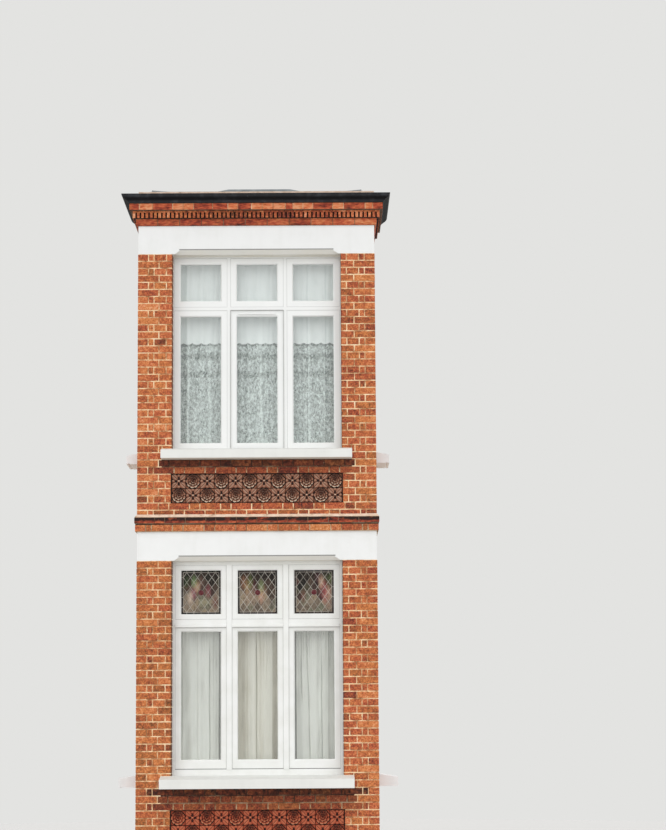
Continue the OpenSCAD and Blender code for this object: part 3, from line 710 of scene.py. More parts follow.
@dataclass(frozen=True)
class FloatGlass(Finish):
    """Clear float glass: smooth and flat. Lamps pass it, so that what hangs behind is lit."""

    def surface(self, node: Adder, place: NodeSocket) -> Surface:
        """Draws clear glass with the faintest waves."""
        waves = (spots(node, place, 300, 1), 1, 0.05)
        return {"Base Color": "#ffffff", "Transmission Weight": 1.0, "IOR": 1.5, "Relief": waves}

    def covered(self, node: Adder, shader: Node) -> Node:
        """Lets the lamps' rays through."""
        lamp = node("LightPath").outputs["Is Shadow Ray"]
        return node("MixShader", lamp, shader, node("BsdfTransparent", "#fbfdfc"))


@dataclass(frozen=True)
class CathedralGlass(Finish):
    """Rolled cathedral glass in tinted quarries: rippled down its length, and half obscured by age."""

    def surface(self, node: Adder, place: NodeSocket) -> Surface:
        """Draws the tint of each quarry, brighter and darker along the ripples."""
        tint = node("Attribute", attribute_name="tint").outputs["Color"]
        ripple = spots(node, place, 14, 3, stretch=(1, 1, 0.45), rough=0.65)
        for start, end, weight, tone in ((0.48, 0.7, 0.22, "#a0927f"), (0.52, 0.33, 0.65, "#2a211c")):
            share = node("MULTIPLY", node("band", ripple, start, end), weight)
            tint = node("mix", share, tint, tone)
        return {
            "Base Color": tint, "Transmission Weight": 0.08, "Specular IOR Level": 0.08,
            "Relief": (ripple, 0.6, 0.3),
        }


@dataclass(frozen=True)
class SheetLead(Finish):
    """Milled lead, gone dull: soft grey with a pale bloom of carbonate."""

    fresh: str
    aged: str

    def surface(self, node: Adder, place: NodeSocket) -> Surface:
        """Draws patina and dents."""
        bloom = node("band", spots(node, place, 120, 4), 0.35, 0.65)
        return {
            "Base Color": node("mix", bloom, self.fresh, self.aged),
            "Metallic": 0.3,
            "Relief": (spots(node, place, 35, 3), 1.2, 0.4),
        }


@dataclass(frozen=True)
class WeatheredCement(Finish):
    """Trowelled cement weathering: cream, gritty and blotched with dirt and algae."""

    def surface(self, node: Adder, place: NodeSocket) -> Surface:
        """Draws blotches, algae and grit."""
        ramp = ((0.26, "#a0826a"), (0.38, "#d8bca4"), (0.55, "#ebd0bb"), (0.7, "#f3decb"))
        cream = node("ValToRGB", spots(node, place, 70, 4, stretch=(1, 1, 2)), ramp=ramp)
        algae = node("band", spots(node, place, 45, 3, rough=0.7), 0.62, 0.72)
        return {
            "Base Color": node("mix", node("MULTIPLY", algae, 0.7), cream, "#5d5c3c"),
            "Relief": (spots(node, place, 5, 3), 0.8, 0.6),
        }


@dataclass(frozen=True)
class BlackPaint(Finish):
    """Black gloss paint on iron or timber: deep and shiny, with a grey film of dust."""

    body: str
    dust: str

    def surface(self, node: Adder, place: NodeSocket) -> Surface:
        """Draws dust, runs of paint, and painted shade on the returns and undersides."""
        film = node("band", spots(node, place, 90, 4), 0.45, 0.75)
        # Near black on the returns and on the faces that look down: painted shade
        across, _, up = node("SeparateXYZ", node("NewGeometry").outputs["Normal"]).outputs
        returns = node("band", node("ABSOLUTE", across), 0.35, 0.6)
        shaded_faces = node("MAXIMUM", returns, node("band", up, -0.65, -0.9))
        return {
            "Base Color": node("mix", shaded_faces, node("mix", film, self.body, self.dust), "#050505"),
            "Specular IOR Level": 0.05,
            "Relief": (spots(node, place, 25, 3), 0.7, 0.3),
        }


@dataclass(frozen=True)
class Softwood(Finish):
    """Planed redwood boards: honey-coloured, with grain along the boards and open joints."""

    board: float = 120 * MM

    def surface(self, node: Adder, place: NodeSocket) -> Surface:
        """Draws boards that run from front to back."""
        x = node("SeparateXYZ", place).outputs[0]
        cell = node("DIVIDE", x, self.board)
        each = node("TexWhiteNoise", node("FLOOR", cell), noise_dimensions="1D")
        grain = spots(node, place, 9, 4, stretch=(1, 0.06, 1))
        value = node("MULTIPLY_ADD", each, 0.3, node("MULTIPLY", grain, 0.7))
        wood = node("ValToRGB", value, ramp=((0.2, "#8f6638"), (0.5, "#b98c58"), (0.8, "#d2ab78")))
        edge = node("ABSOLUTE", node("SUBTRACT", node("FRACT", cell), 0.5))
        joint = node("GREATER_THAN", edge, 0.487)
        return {"Base Color": node("mix", joint, wood, "#2e2013"), "Relief": (grain, 0.5, 0.4)}


@dataclass(frozen=True)
class Weave:
    """Crossed threads of a cloth in its own flat coordinates, by their pitch and depth in millimetres."""

    pitch: float
    depth: float
    strength: float

    def relief(self, node: Adder, along: NodeSocket, down: NodeSocket) -> tuple[Node, float, float]:
        """Draws the relief of the threads, from the places across and down the cloth in metres."""
        turns = [node("MULTIPLY", way, math.tau / (self.pitch * MM)) for way in (along, down)]
        return node("MULTIPLY", *[node("SINE", turn) for turn in turns]), self.depth, self.strength


@dataclass(frozen=True)
class CottonVoile(Finish):
    """Plain-woven cotton voile: thin, matt and off-white, with painted shade in its folds.

    Its threads lie 0.4 mm apart and are drawn at 2.4 mm to show.
    """

    tones: Ramp
    weave: Weave = Weave(2.4, 0.2, 0.25)

    def surface(self, node: Adder, place: NodeSocket) -> Surface:
        """Draws the weave along the cloth, and painted shade in its folds."""
        along, down, _ = node("SeparateXYZ", node("UVMap", uv_map="cloth")).outputs
        hollow = node("Attribute", attribute_name="hollow").outputs["Fac"]
        # The hollow mark is painted shade: greyer in the folds and where the cloth hangs back
        value = varied(node, hollow, spots(node, place, 120, 3, stretch=(1, 1, 0.4)), 0.35)
        return {
            "Base Color": node("ValToRGB", value, ramp=self.tones),
            "Sheen Weight": 0.15,
            "Relief": self.weave.relief(node, along, down),
        }


@dataclass(frozen=True)
class LaceNet(Finish):
    """Warp-knitted nylon net: pale, plain above, with a scalloped line and a lace ground below it.

    Its meshes lie 1 mm apart and are drawn at 3 mm to show.
    """

    line_z: float
    scallop_w: float = 95 * MM
    scallop_h: float = 16 * MM
    weave: Weave = Weave(3, 0.3, 0.3)

    def surface(self, node: Adder, place: NodeSocket) -> Surface:
        """Draws plain net, the scallops' rows and the lace ground, with painted shade in its folds and holes.
        """
        along, down, _ = node("SeparateXYZ", node("UVMap", uv_map="cloth")).outputs
        z = node("SeparateXYZ", place).outputs[2]
        hollow = node("Attribute", attribute_name="hollow").outputs["Fac"]
        # The hollow mark is painted shade of the folds
        value = varied(node, hollow, spots(node, place, 90, 3), 0.3)
        plain = node("ValToRGB", value, ramp=((0.1, "#e4ebea"), (0.5, "#dde4e3"), (0.9, "#bac4c3")))
        # The lace ground: leaves and holes about 17 mm across and 30 mm long, with stitches of 10 mm. Its
        # holes are darkened as painted shade, for the dim room seen through them
        leaves = spots(node, place, 17, 3, stretch=(1, 0.2, 0.55), rough=0.6)
        stitches = spots(node, place, 10, 2, stretch=(1, 0.2, 0.8))
        holes = varied(node, varied(node, hollow, leaves, 2.0), stitches, 1.1)
        turn = node("MULTIPLY", along, math.pi / self.scallop_w)
        wave = node("ABSOLUTE", node("SINE", turn))
        depth = node("SUBTRACT", node("MULTIPLY_ADD", wave, -self.scallop_h, self.line_z), z)
        rows = ((10 * MM, 22 * MM, 0.35), (140 * MM, 50 * MM, 0.24), (330 * MM, 50 * MM, 0.2))
        for row, width, weight in rows:
            off = node("ABSOLUTE", node("SUBTRACT", depth, row))
            holes = node("MULTIPLY_ADD", node("band", off, width, 0.2 * width), weight, holes)
        ramp = ((0.1, "#cfdad6"), (0.5, "#a8b2b0"), (0.75, "#88928e"), (1.0, "#5c6763"))
        lace = node("ValToRGB", holes, ramp=ramp)
        return {
            "Base Color": node("mix", node("band", depth, -2 * MM, 3 * MM), plain, lace),
            "Sheen Weight": 0.1,
            "Relief": self.weave.relief(node, along, down),
        }


@dataclass(frozen=True)
class RubberSealAndShadowLine(Finish):
    """Rubber gasket, and dark strips of painted shadow: dull grey, lighter with chalk where rain runs over
    it.
    """

    colour: str
    chalk: float

    def surface(self, node: Adder, place: NodeSocket) -> Surface:
        """Draws a chalky bloom."""
        bloom = node("MULTIPLY", spots(node, place, 40, 3, stretch=(1, 1, 0.3)), self.chalk)
        return {
            "Base Color": node("mix", bloom, self.colour, "#b9bab6"),
            "Relief": (spots(node, place, 5, 2), 0.2, 0.3),
        }


@dataclass(frozen=True)
class PaleFloor(Finish):
    """The studio's floor: matt, plain and pale."""

    colour: str

    def surface(self, node: Adder, place: NodeSocket) -> Surface:
        """Gives the shader its one colour."""
        return {"Base Color": self.colour}


# Geometry Nodes


def start_tree(name: str, **inputs: str) -> tuple[NodeTree, Any]:
    """Starts a tree of Geometry Nodes.

    Args:
        name: the tree's name.
        **inputs: the kind of each input besides the geometry.

    Returns:
        The tree and the outputs of its Group Input.
    """
    tree = bpy.data.node_groups.new(name, "GeometryNodeTree")
    for label, kind in {"Geometry": "Geometry", **inputs}.items():
        tree.interface.new_socket(label.replace("_", " "), in_out="INPUT", socket_type="NodeSocket" + kind)
    tree.interface.new_socket("Geometry", in_out="OUTPUT", socket_type="NodeSocketGeometry")
    return tree, add(tree, "NodeGroupInput").outputs


def end_tree(tree: NodeTree, laid: Node, finish: Material) -> None:
    """Ends a tree with real geometry in one material.

    Args:
        tree: the tree.
        laid: the node that gives its geometry.
        finish: the material.
    """
    real = add(tree, "GeometryNodeRealizeInstances", laid)
    done = add(tree, "GeometryNodeSetMaterial", real, Material=finish)
    add(tree, "NodeGroupOutput", Geometry=done)


def run_tree(rough: Object, tree: NodeTree, **values: Any) -> None:
    """Adds a tree to an object as a modifier.

    Args:
        rough: the object.
        tree: the tree.
        **values: its inputs, each set by the identifier of its socket.
    """
    nodes = rough.modifiers.new("laid", "NODES")
    nodes.node_group = tree
    for item in tree.interface.items_tree:
        label = item.name.replace(" ", "_")
        if item.item_type == "SOCKET" and item.in_out == "INPUT" and label in values:
            nodes[item.identifier] = values[label]


@dataclass(frozen=True)
class LaidTree:
    """Geometry Nodes that lay one block on every point of a plan.

    A point carries the space that the block has with half its joints ("module"), the axes on which
    a joint is taken off ("joints") and its turn ("turn").
    """

    joint: float
    uneven: float
    seed: int

    def build(self, name: str, finish: Material) -> NodeTree:
        """Builds the tree.

        Args:
            name: the tree's name.
            finish: the blocks' material.

        Returns:
            A tree with the inputs Joint, Unevenness and Seed.
        """
        tree, given = start_tree(name, Joint="Float", Unevenness="Float", Seed="Int")
        module, joints, turn = [
            add(tree, "GeometryNodeInputNamedAttribute", Name=mark, data_type="FLOAT_VECTOR")
            for mark in ("module", "joints", "turn")
        ]
        cut = add(tree, "VectorMath", joints, given["Joint"], operation="SCALE")
        size = add(tree, "VectorMath", module, cut, operation="SUBTRACT")
        low, high = (-1, -1, -1), (1, 1, 1)
        shift = add(tree, "FunctionNodeRandomValue", low, high, Seed=given["Seed"], data_type="FLOAT_VECTOR")
        shift = add(tree, "VectorMath", shift, given["Unevenness"], operation="SCALE")
        spread = add(tree, "GeometryNodeSetPosition", given["Geometry"], Offset=shift)
        block = add(tree, "GeometryNodeMeshCube", Size=(1, 1, 1))
        laid = add(tree, "GeometryNodeInstanceOnPoints", spread, Instance=block, Rotation=turn, Scale=size)
        end_tree(tree, laid, finish)
        return tree

    def lay(self, plan: Draft, name: str, finish: Material, arris: float) -> Object:
        """Lays the blocks of a plan.

        Args:
            plan: points with the marks module, joints and turn.
            name: the piece's name.
            finish: its material.
            arris: width of the worn edges.

        Returns:
            The blocks as one plain mesh.
        """
        rough = plan.build(name)
        run_tree(rough, self.build(name, finish), Joint=self.joint, Unevenness=self.uneven, Seed=self.seed)
        wear(rough, arris)
        return settled(rough)


# Brickwork


class Zone(Enum):
    """Parts of the walls whose bricks differ: mean tone, its spread, the share of dark ones, and warmth."""

    PIER = (0.6, 0.065, 0.015, 0.5)
    BAND = (0.64, 0.1, 0.0, 0.45)
    RED = (0.48, 0.07, 0.0, 0.17)


@dataclass(frozen=True)
class Course:
    """A course of bricks. An odd one shows the ends of its corner bricks to the street."""

    odd: bool
    foot: float
    top: float
    out: float
    zone: Zone
    soot: float


@dataclass
class Brickwork:
    """Facing bricks of the walls in Flemish bond, proud of the mortar that the CAD walls stand for."""

    bay: Bay
    stretcher: float = 219 * MM
    header: float = 106 * MM
    closer: float = 50 * MM
    inner_half: float = 30 * MM
    joint: float = 10 * MM
    tighter: float = 0.65
    arris: float = 2.5 * MM
    uneven: float = 0.9 * MM
    proud: float = 2.5 * MM
    sunk: float = 28 * MM
    tile_reveal: float = 24 * MM
    timber_reveal: float = 130 * MM
    plastic_reveal: float = 150 * MM
    sill_horn: float = 105 * MM
    side_horn: float = 70 * MM
    cover: float = 2 * MM
    gap: float = 3 * MM
    string_out: float = 18 * MM
    plan: Draft = field(default_factory=Draft)
    dice: random.Random = field(default_factory=lambda: random.Random(61))

    @property
    def lengths(self) -> Point:
        """Stretcher, header and closer with their joints."""
        return self.stretcher + self.joint, self.header + self.joint, self.closer + self.joint

    def course(self, number: int, out: float = 0.0, zone: Zone = Zone.PIER, soot: float = 0.0) -> Course:
        """Gives a course by its number from the ground up, with the zone of its front and its soot, which
        under the sills is also painted shade.
        """
        foot = number * self.bay.course
        return Course(number % 2 == 1, foot, foot + self.bay.course, out, zone, soot)

    def brick(
        self, low: Point, high: Point, joints: Point, header: bool, zone: Zone = Zone.PIER, soot: float = 0.0
    ) -> None:
        """Adds one brick to the plan.

        Args:
            low: lowest corner of its space, with half the joints.
            high: highest corner.
            joints: 1 on each axis with joints.
            header: whether its end shows.
            zone: where it is, for its tone.
            soot: how sooty it is; under the sills this is also painted shade.
        """
        mean, spread, dark, warm = zone.value
        centre = tuple((a + b) / 2 for a, b in zip(low, high))
        lower = centre[2] <= self.bay.string_z
        if zone is Zone.PIER and centre[0] > 0:
            mean, warm = (mean - 0.07, 0.3) if header else (mean, 0.62)
        elif zone is Zone.PIER:
            mean, warm = (mean - 0.1, 0.7) if lower else (mean, 0.42)
        if zone is Zone.PIER and lower:
            # The perpends of the lower piers are tighter than their beds
            joints = (self.tighter * joints[0], self.tighter * joints[1], joints[2])
        chance = dark * (2.2 if header else 0.7)
        tone = self.dice.uniform(0.22, 0.36) if self.dice.random() < chance else self.dice.gauss(mean, spread)
        self.plan.add(
            [centre],
            [],
            module=tuple(b - a for a, b in zip(low, high)),
            joints=tuple(float(j) for j in joints),
            turn=(0.0, 0.0, 0.0),
            centre=centre,
            tone=min(max(tone, 0.03), 0.78),
            warm=self.dice.gauss(warm, 0.22),
            soot=soot,
        )

    def shares(self, span: float, pattern: Lengths, ends_alike: bool = False) -> Lengths:
        """Divides a span among bricks whose lengths repeat, cut or stretched a little to fit.

        Args:
            span: the length with its joints.
            pattern: lengths that repeat, with their joints.
            ends_alike: whether it ends with the brick that it starts with.

        Returns:
            The length that each brick has, with its joint.
        """
        best: list[float] = []
        for count in range(1, 40):
            if ends_alike and count % len(pattern) != 1 % len(pattern):
                continue
            row = [pattern[i % len(pattern)] for i in range(count)]
            if not best or abs(sum(row) / span - 1) < abs(sum(best) / span - 1):
                best = row
        scale = span / sum(best)
        return [b * scale for b in best]

    def front_run(self, course: Course, x: float, rows: Lengths, way: int = 1, reveal: float = 0.0) -> None:
        """Lays bricks along the front.

        Args:
            course: the course.
            x: where the run starts, in the middle of a joint.
            rows: lengths with joints that fill the run.
            way: 1 for a run to the right, -1 for one to the left.
            reveal: depth of the opening beside the run's last brick, or 0.
        """
        j = self.joint
        face = self.bay.front_y - course.out - self.proud
        for index, length in enumerate(rows):
            a, b = sorted((x, x + way * length))
            x += way * length
            header = length - j < 0.75 * self.stretcher
            blocks = [(a, b, face, face + self.proud + self.sunk, 0)]
            if reveal and index == len(rows) - 1:
                back = self.bay.front_y + reveal - 1 * MM
                blocks = [(a, b, face, back, 0)]
                if not header or back - face <= self.header + 1.6 * j:
                    # Two bricks, one behind the other, turn the corner into the opening
                    split = face + self.header + j / 2
                    inner = (b - self.inner_half, b) if way > 0 else (a, a + self.inner_half)
                    blocks = [(a, b, face - j / 2, split, 1), (*inner, split, back + j / 2, 1)]
            for x0, x1, y0, y1, bed in blocks:
                low, high = (x0, y0, course.foot), (x1, y1, course.top)
                self.brick(low, high, (1, bed, 1), header, course.zone, course.soot)

    def both_sides(self, course: Course, edge: float, rows: Lengths, reveal: float) -> None:
        """Lays bricks from both corners of the front towards an opening.

        Args:
            course: the course.
            edge: distance from the middle of the bay to the run's outer end.
            rows: lengths with joints, from the outer end.
            reveal: as for front_run.
        """
        for side in (1, -1):
            self.front_run(course, side * edge, rows, -side, reveal)

    def side_run(
        self, course: Course, side: int, y: float, rows: Lengths, reveal: float = 0.0, towards: int = 0
    ) -> None:
        """Lays bricks along a return, from the street towards the house wall.

        Args:
            course: the course.
            side: 1 for the right return, -1 for the left one.
            y: front end of the run, in the middle of a joint.
            rows: lengths with joints that fill the run.
            reveal: depth of the opening beside the run, or 0.
            towards: which way the opening is: 1 at the back end, -1 at the front end.
        """
        face = self.bay.half_w + course.out + self.proud
        # The cut ends stay inside the wall's own end, whatever their joints and unevenness
        last = self.bay.back_y + self.tighter * self.joint / 2 - 1 * MM
        for index, length in enumerate(rows):
            a, b = y, min(y + length, last)
            y += length
            header = length - self.joint < 0.75 * self.stretcher
            at_opening = reveal and index == (len(rows) - 1 if towards > 0 else 0)
            depth = self.proud + (reveal - 1 * MM if at_opening else self.sunk)
            xa, xb = sorted((side * face, side * (face - depth)))
            self.brick((xa, a, course.foot), (xb, b, course.top), (0, 1, 1), header)

    def quoins(self, course: Course) -> Pair:
        """Lays the corner brick of a course on both sides.

        Args:
            course: the course.

        Returns:
            The lengths that the corner brick takes along the front and along the return, with half a joint.
        """
        half = self.joint / 2
        along, back = (self.header, self.stretcher) if course.odd else (self.stretcher, self.header)
        face = self.bay.half_w + course.out + self.proud
        y = self.bay.front_y - course.out - self.proud
        for side in (-1, 1):
            xa, xb = sorted((side * (face + half), side * (face - along - half)))
            low, high = (xa, y - half, course.foot), (xb, y + back + half, course.top)
            self.brick(low, high, (1, 1, 1), course.odd)
        return along + half, back + half

    def apron_course(self, course: Course, panel: bool = False) -> None:
        """Lays a course across the front and down both returns.

        Args:
            course: the course.
            panel: whether a tile panel parts it.
        """
        bay, (s, h, c) = self.bay, self.lengths
        along, back = self.quoins(course)
        edge = bay.half_w + course.out + self.proud - along
        if panel:
            span = edge - (bay.half_open + self.joint / 2 - 1 * MM)
            self.both_sides(course, edge, self.shares(span, (c, h) if course.odd else (h,)), self.tile_reveal)
        elif course.odd:
            self.front_run(course, -edge, [c, *self.shares(2 * (edge - c), (s, h), ends_alike=True), c])
        else:
            self.front_run(course, -edge, self.shares(2 * edge, (h, s), ends_alike=True))
        y = bay.front_y - course.out - self.proud + back
        span = bay.back_y + self.joint / 2 - y
        rows = self.shares(span, (h, s)) if course.odd else [c, *self.shares(span - c, (s, h))]
        for side in (-1, 1):
            self.side_run(course, side, y, rows)

    def pier_course(self, number: int, open_z: float, reveal: float) -> None:
        """Lays a course of the piers and jambs beside the windows.

        Args:
            number: the course's number.
            open_z: top of the sills.
            reveal: depth of the window frames behind the face.
        """
        bay, course, (s, h, c) = self.bay, self.course(number), self.lengths
        at_sill = course.foot < open_z
        along, back = self.quoins(course)
        edge = bay.half_w + self.proud - along
        # The bricks reach a little into the opening, over the edge of the mortar behind them
        trim = self.cover + self.joint / 2
        past_horn = self.sill_horn + self.gap
        start = bay.half_open - trim + (past_horn if at_sill else 0)
        horn, depth = (self.side_horn, 0.0) if at_sill else (0.0, reveal)
        rows = self.shares(edge - start, (h,))
        if not at_sill:
            rows = [c, *self.shares(edge - start - c, (h, c))] if course.odd else [edge - start]
        self.both_sides(course, edge, rows, depth)
        y0, y1 = bay.front_y - self.proud + back, bay.side_y0 + trim - horn
        y2, y3 = bay.side_y1 - trim + horn, bay.back_y + self.joint / 2
        front_rows = self.shares(y1 - y0, (h, c) if course.odd else (c, s))
        back_rows = self.shares(y3 - y2, (h,) if course.odd else (s,))
        for side in (-1, 1):
            self.side_run(course, side, y0, front_rows, depth, 1)
            self.side_run(course, side, y2, back_rows, depth, -1)
        if at_sill and course.top > open_z:
            # Cut bricks fill the course over the horns of the sills
            cut = replace(course, foot=open_z - self.gap)
            self.both_sides(cut, start, [past_horn], reveal)
            for side in (-1, 1):
                self.side_run(cut, side, y1, [horn], reveal, 1)
                self.side_run(cut, side, y2 - horn, [horn], reveal, -1)

    def lay(self, finish: Material, name: str) -> None:
        """Lays what the plan holds as one piece and starts an empty plan.

        Args:
            finish: the bricks' material.
            name: the piece's name.
        """
        tree = LaidTree(self.joint, self.uneven, 7)
        place_piece(tree.lay(self.plan, name, finish, self.arris), finish)
        self.plan = Draft()

    def storey(self, finish: Material, name: str, start: int, sill_soot_and_shade: Lengths, reveal: float) -> None:
        """Lays the walls of one storey: its apron, and its piers and jambs.

        Args:
            finish: the bricks' material.
            name: the storey's name.
            start: number of its first course.
            sill_soot_and_shade: soot and painted shade of the courses under the sill, from the top down.
            reveal: depth of its window frames.
        """
        panel, sill, head = [
            round(getattr(self.bay, f"{name}_{line}_z") / self.bay.course)
            for line in ("panel", "sill", "head")
        ]
        for number in range(start, sill):
            under = sill - 1 - number
            if panel <= number < panel + 4:
                self.apron_course(self.course(number), panel=True)
            else:
                soot = sill_soot_and_shade[under] if under < len(sill_soot_and_shade) else 0.0
                self.apron_course(self.course(number, 0.0, Zone.RED, soot))
        self.lay(finish, f"{name}_apron_bricks")
        for number in range(sill, head):
            self.pier_course(number, getattr(self.bay, f"{name}_open_z"), reveal)
        self.lay(finish, f"{name}_pier_bricks")

    def make(self, finish: Material) -> None:
        """Lays the aprons, the piers and the plain band of the string course, in one piece each.

        Args:
            finish: the bricks' material.
        """
        string = round(self.bay.string_z / self.bay.course)
        # The top courses under each sill get soot and painted shade, darkest at the top
        self.storey(finish, "ground", 0, (0.95, 0.6, 0.35), self.timber_reveal)
        self.apron_course(self.course(string, self.string_out, Zone.BAND, 0.12))
        self.lay(finish, "string_course_bricks")
        self.storey(finish, "first", string + 2, (0.85, 0.3), self.plastic_reveal)


@dataclass
class MouldedCourses:
    """Moulded and plain bricks of the string course and the cornice, mitred at the corners."""

    bay: Bay
    joint: float = 6 * MM
    proud: float = 2 * MM
    sunk: float = 25 * MM
    arris: float = 1.5 * MM
    shortest: float = 60 * MM
    cornice_cove: float = 24 * MM
    cap_out: float = 88 * MM
    string_out: float = 9 * MM
    string_cove: float = 17 * MM
    dice: random.Random = field(default_factory=lambda: random.Random(17))

    def end_of(self, facing: Facing, section: Sequence[Pair], end: float, mitre: int) -> list[Point]:
        """Places a brick's section at one of its ends.

        Args:
            facing: the wall.
            section: projection and height of its corners.
            end: place of a square end along the wall.
            mitre: 1 or -1 where the end is mitred at the corner on that side, else 0.

        Returns:
            The corners of the end.
        """
        bay = self.bay
        wall, corner, limit = -bay.half_w, -bay.front_y, bay.back_y - 0.3 * MM
        if facing is Facing.FRONT:
            wall, corner, limit = bay.front_y, bay.half_w, math.inf
        square = min(max(end, -limit), limit)
        places = [(mitre * (corner + out) if mitre else square, wall - out, up) for out, up in section]
        return [facing.turned(*place) for place in places]

    def course(
        self, name: str, finish: Material, outline: Sequence[Pair], bricks: Sequence[Pair], soot: float
    ) -> None:
        """Makes a course of bricks along the front and both returns.

        Args:
            name: the piece's name.
            finish: its material.
            outline: projection and height of the bricks' faces, from bottom to top.
            bricks: length in millimetres, with a joint, and tone of each brick in a row that repeats.
            soot: how sooty the bricks are.
        """
        bay, gap, draft = self.bay, self.joint / 2, Draft()
        widest = max(out for out, _ in outline)
        section = [(-self.sunk, outline[0][1]), *outline, (-self.sunk, outline[-1][1])]
        bricks = [(length * MM, tone) for length, tone in bricks]
        front, side = -bay.half_w - widest, bay.front_y - widest
        for facing, start in {Facing.FRONT: front, Facing.RIGHT: side, Facing.LEFT: -bay.back_y}.items():
            span = -2 * start if facing is Facing.FRONT else bay.back_y - bay.front_y + widest
            rows: list[Pair] = []
            while sum(length for length, _ in rows) < span - self.shortest:
                rows.append(bricks[len(rows) % len(bricks)])
            scale = span / sum(length for length, _ in rows)
            for index, (length, tone) in enumerate(rows):
                a, b = start + gap, start + length * scale - gap
                start += length * scale
                mitre_a = -1 if index == 0 and facing is not Facing.LEFT else 0
                mitre_b = 1 if index == len(rows) - 1 and facing is not Facing.RIGHT else 0
                ends = [self.end_of(facing, section, a, mitre_a), self.end_of(facing, section, b, mitre_b)]
                axes = list(zip(*ends[0], *ends[1]))
                draft.prism(
                    *ends,
                    tone=self.dice.gauss(tone, 0.04),
                    warm=self.dice.gauss(0.5 * tone - 0.2, 0.08),
                    soot=soot * self.dice.uniform(0.3, 1.3),
                    centre=tuple((min(axis) + max(axis)) / 2 for axis in axes),
                    module=tuple(max(axis) - min(axis) + self.joint for axis in axes),
                )
        rough = draft.build(name)
        wear(rough, self.arris, 50)
        place_piece(settled(rough), finish)

    def cove(self, out: float, foot: float, radius: float, top: float) -> list[Pair]:
        """Draws a quarter-round hollow with a fillet on top.

        Args:
            out: projection that it springs from.
            foot: height that it springs from.
            radius: its radius.
            top: height of the fillet's top.

        Returns:
            Projection and height of its corners, from bottom to top.
        """
        turns = [math.radians(turn) for turn in range(0, 91, 15)]
        hollow = [(out + radius * math.sin(t) + self.proud, foot + radius * (1 - math.cos(t))) for t in turns]
        return [*hollow, (out + radius + self.proud, top)]

    def make(self, finish: Material, stained: Material) -> None:
        """Makes the moulded bricks of the cornice, its cap, and the stained ones of the string course.

        Args:
            finish: material of the cornice's bricks.
            stained: material of the string course's bricks.
        """
        bay = self.bay
        # Moulded bricks come dark or orange-red by the batch, and the cap alternates headers and stretchers
        batch = (0.62, 0.46, 0.38, 0.46, 0.42, 0.47, 0.58, 0.4, 0.62, 0.64, 0.64)
        cap = (
            (104, 0.5), (142, 0.86), (208, 0.42), (110, 0.84), (110, 0.88), (200, 0.38), (160, 0.42),
            (104, 0.84), (142, 0.36), (114, 0.86), (114, 0.84), (130, 0.88), (80, 0.4), (104, 0.86),
            (104, 0.84), (208, 0.38), (114, 0.86), (227, 0.42), (80, 0.76),
        )
        band = ((228, 0.36), (110, 0.44), (228, 0.25), (228, 0.48), (110, 0.22), (228, 0.4), (228, 0.3))
        hollow = self.cove(0, bay.cornice_z + 0.5 * MM, self.cornice_cove, bay.dentil_z - 4 * MM)
        self.course("cornice_moulding_bricks", finish, hollow, [(232, tone) for tone in batch], 0.15)
        flat = [(self.cap_out + self.proud, z) for z in (bay.cap_z + 4 * MM, bay.eaves_z - 5 * MM)]
        self.course("cornice_cap_bricks", finish, flat, cap, 0.05)
        foot = bay.string_z + bay.course + 5 * MM
        hollow = self.cove(self.string_out, foot, self.string_cove, bay.apron_z - 6 * MM)
        self.course("string_moulding_bricks", stained, hollow, band, 0.75)


# Tile panels


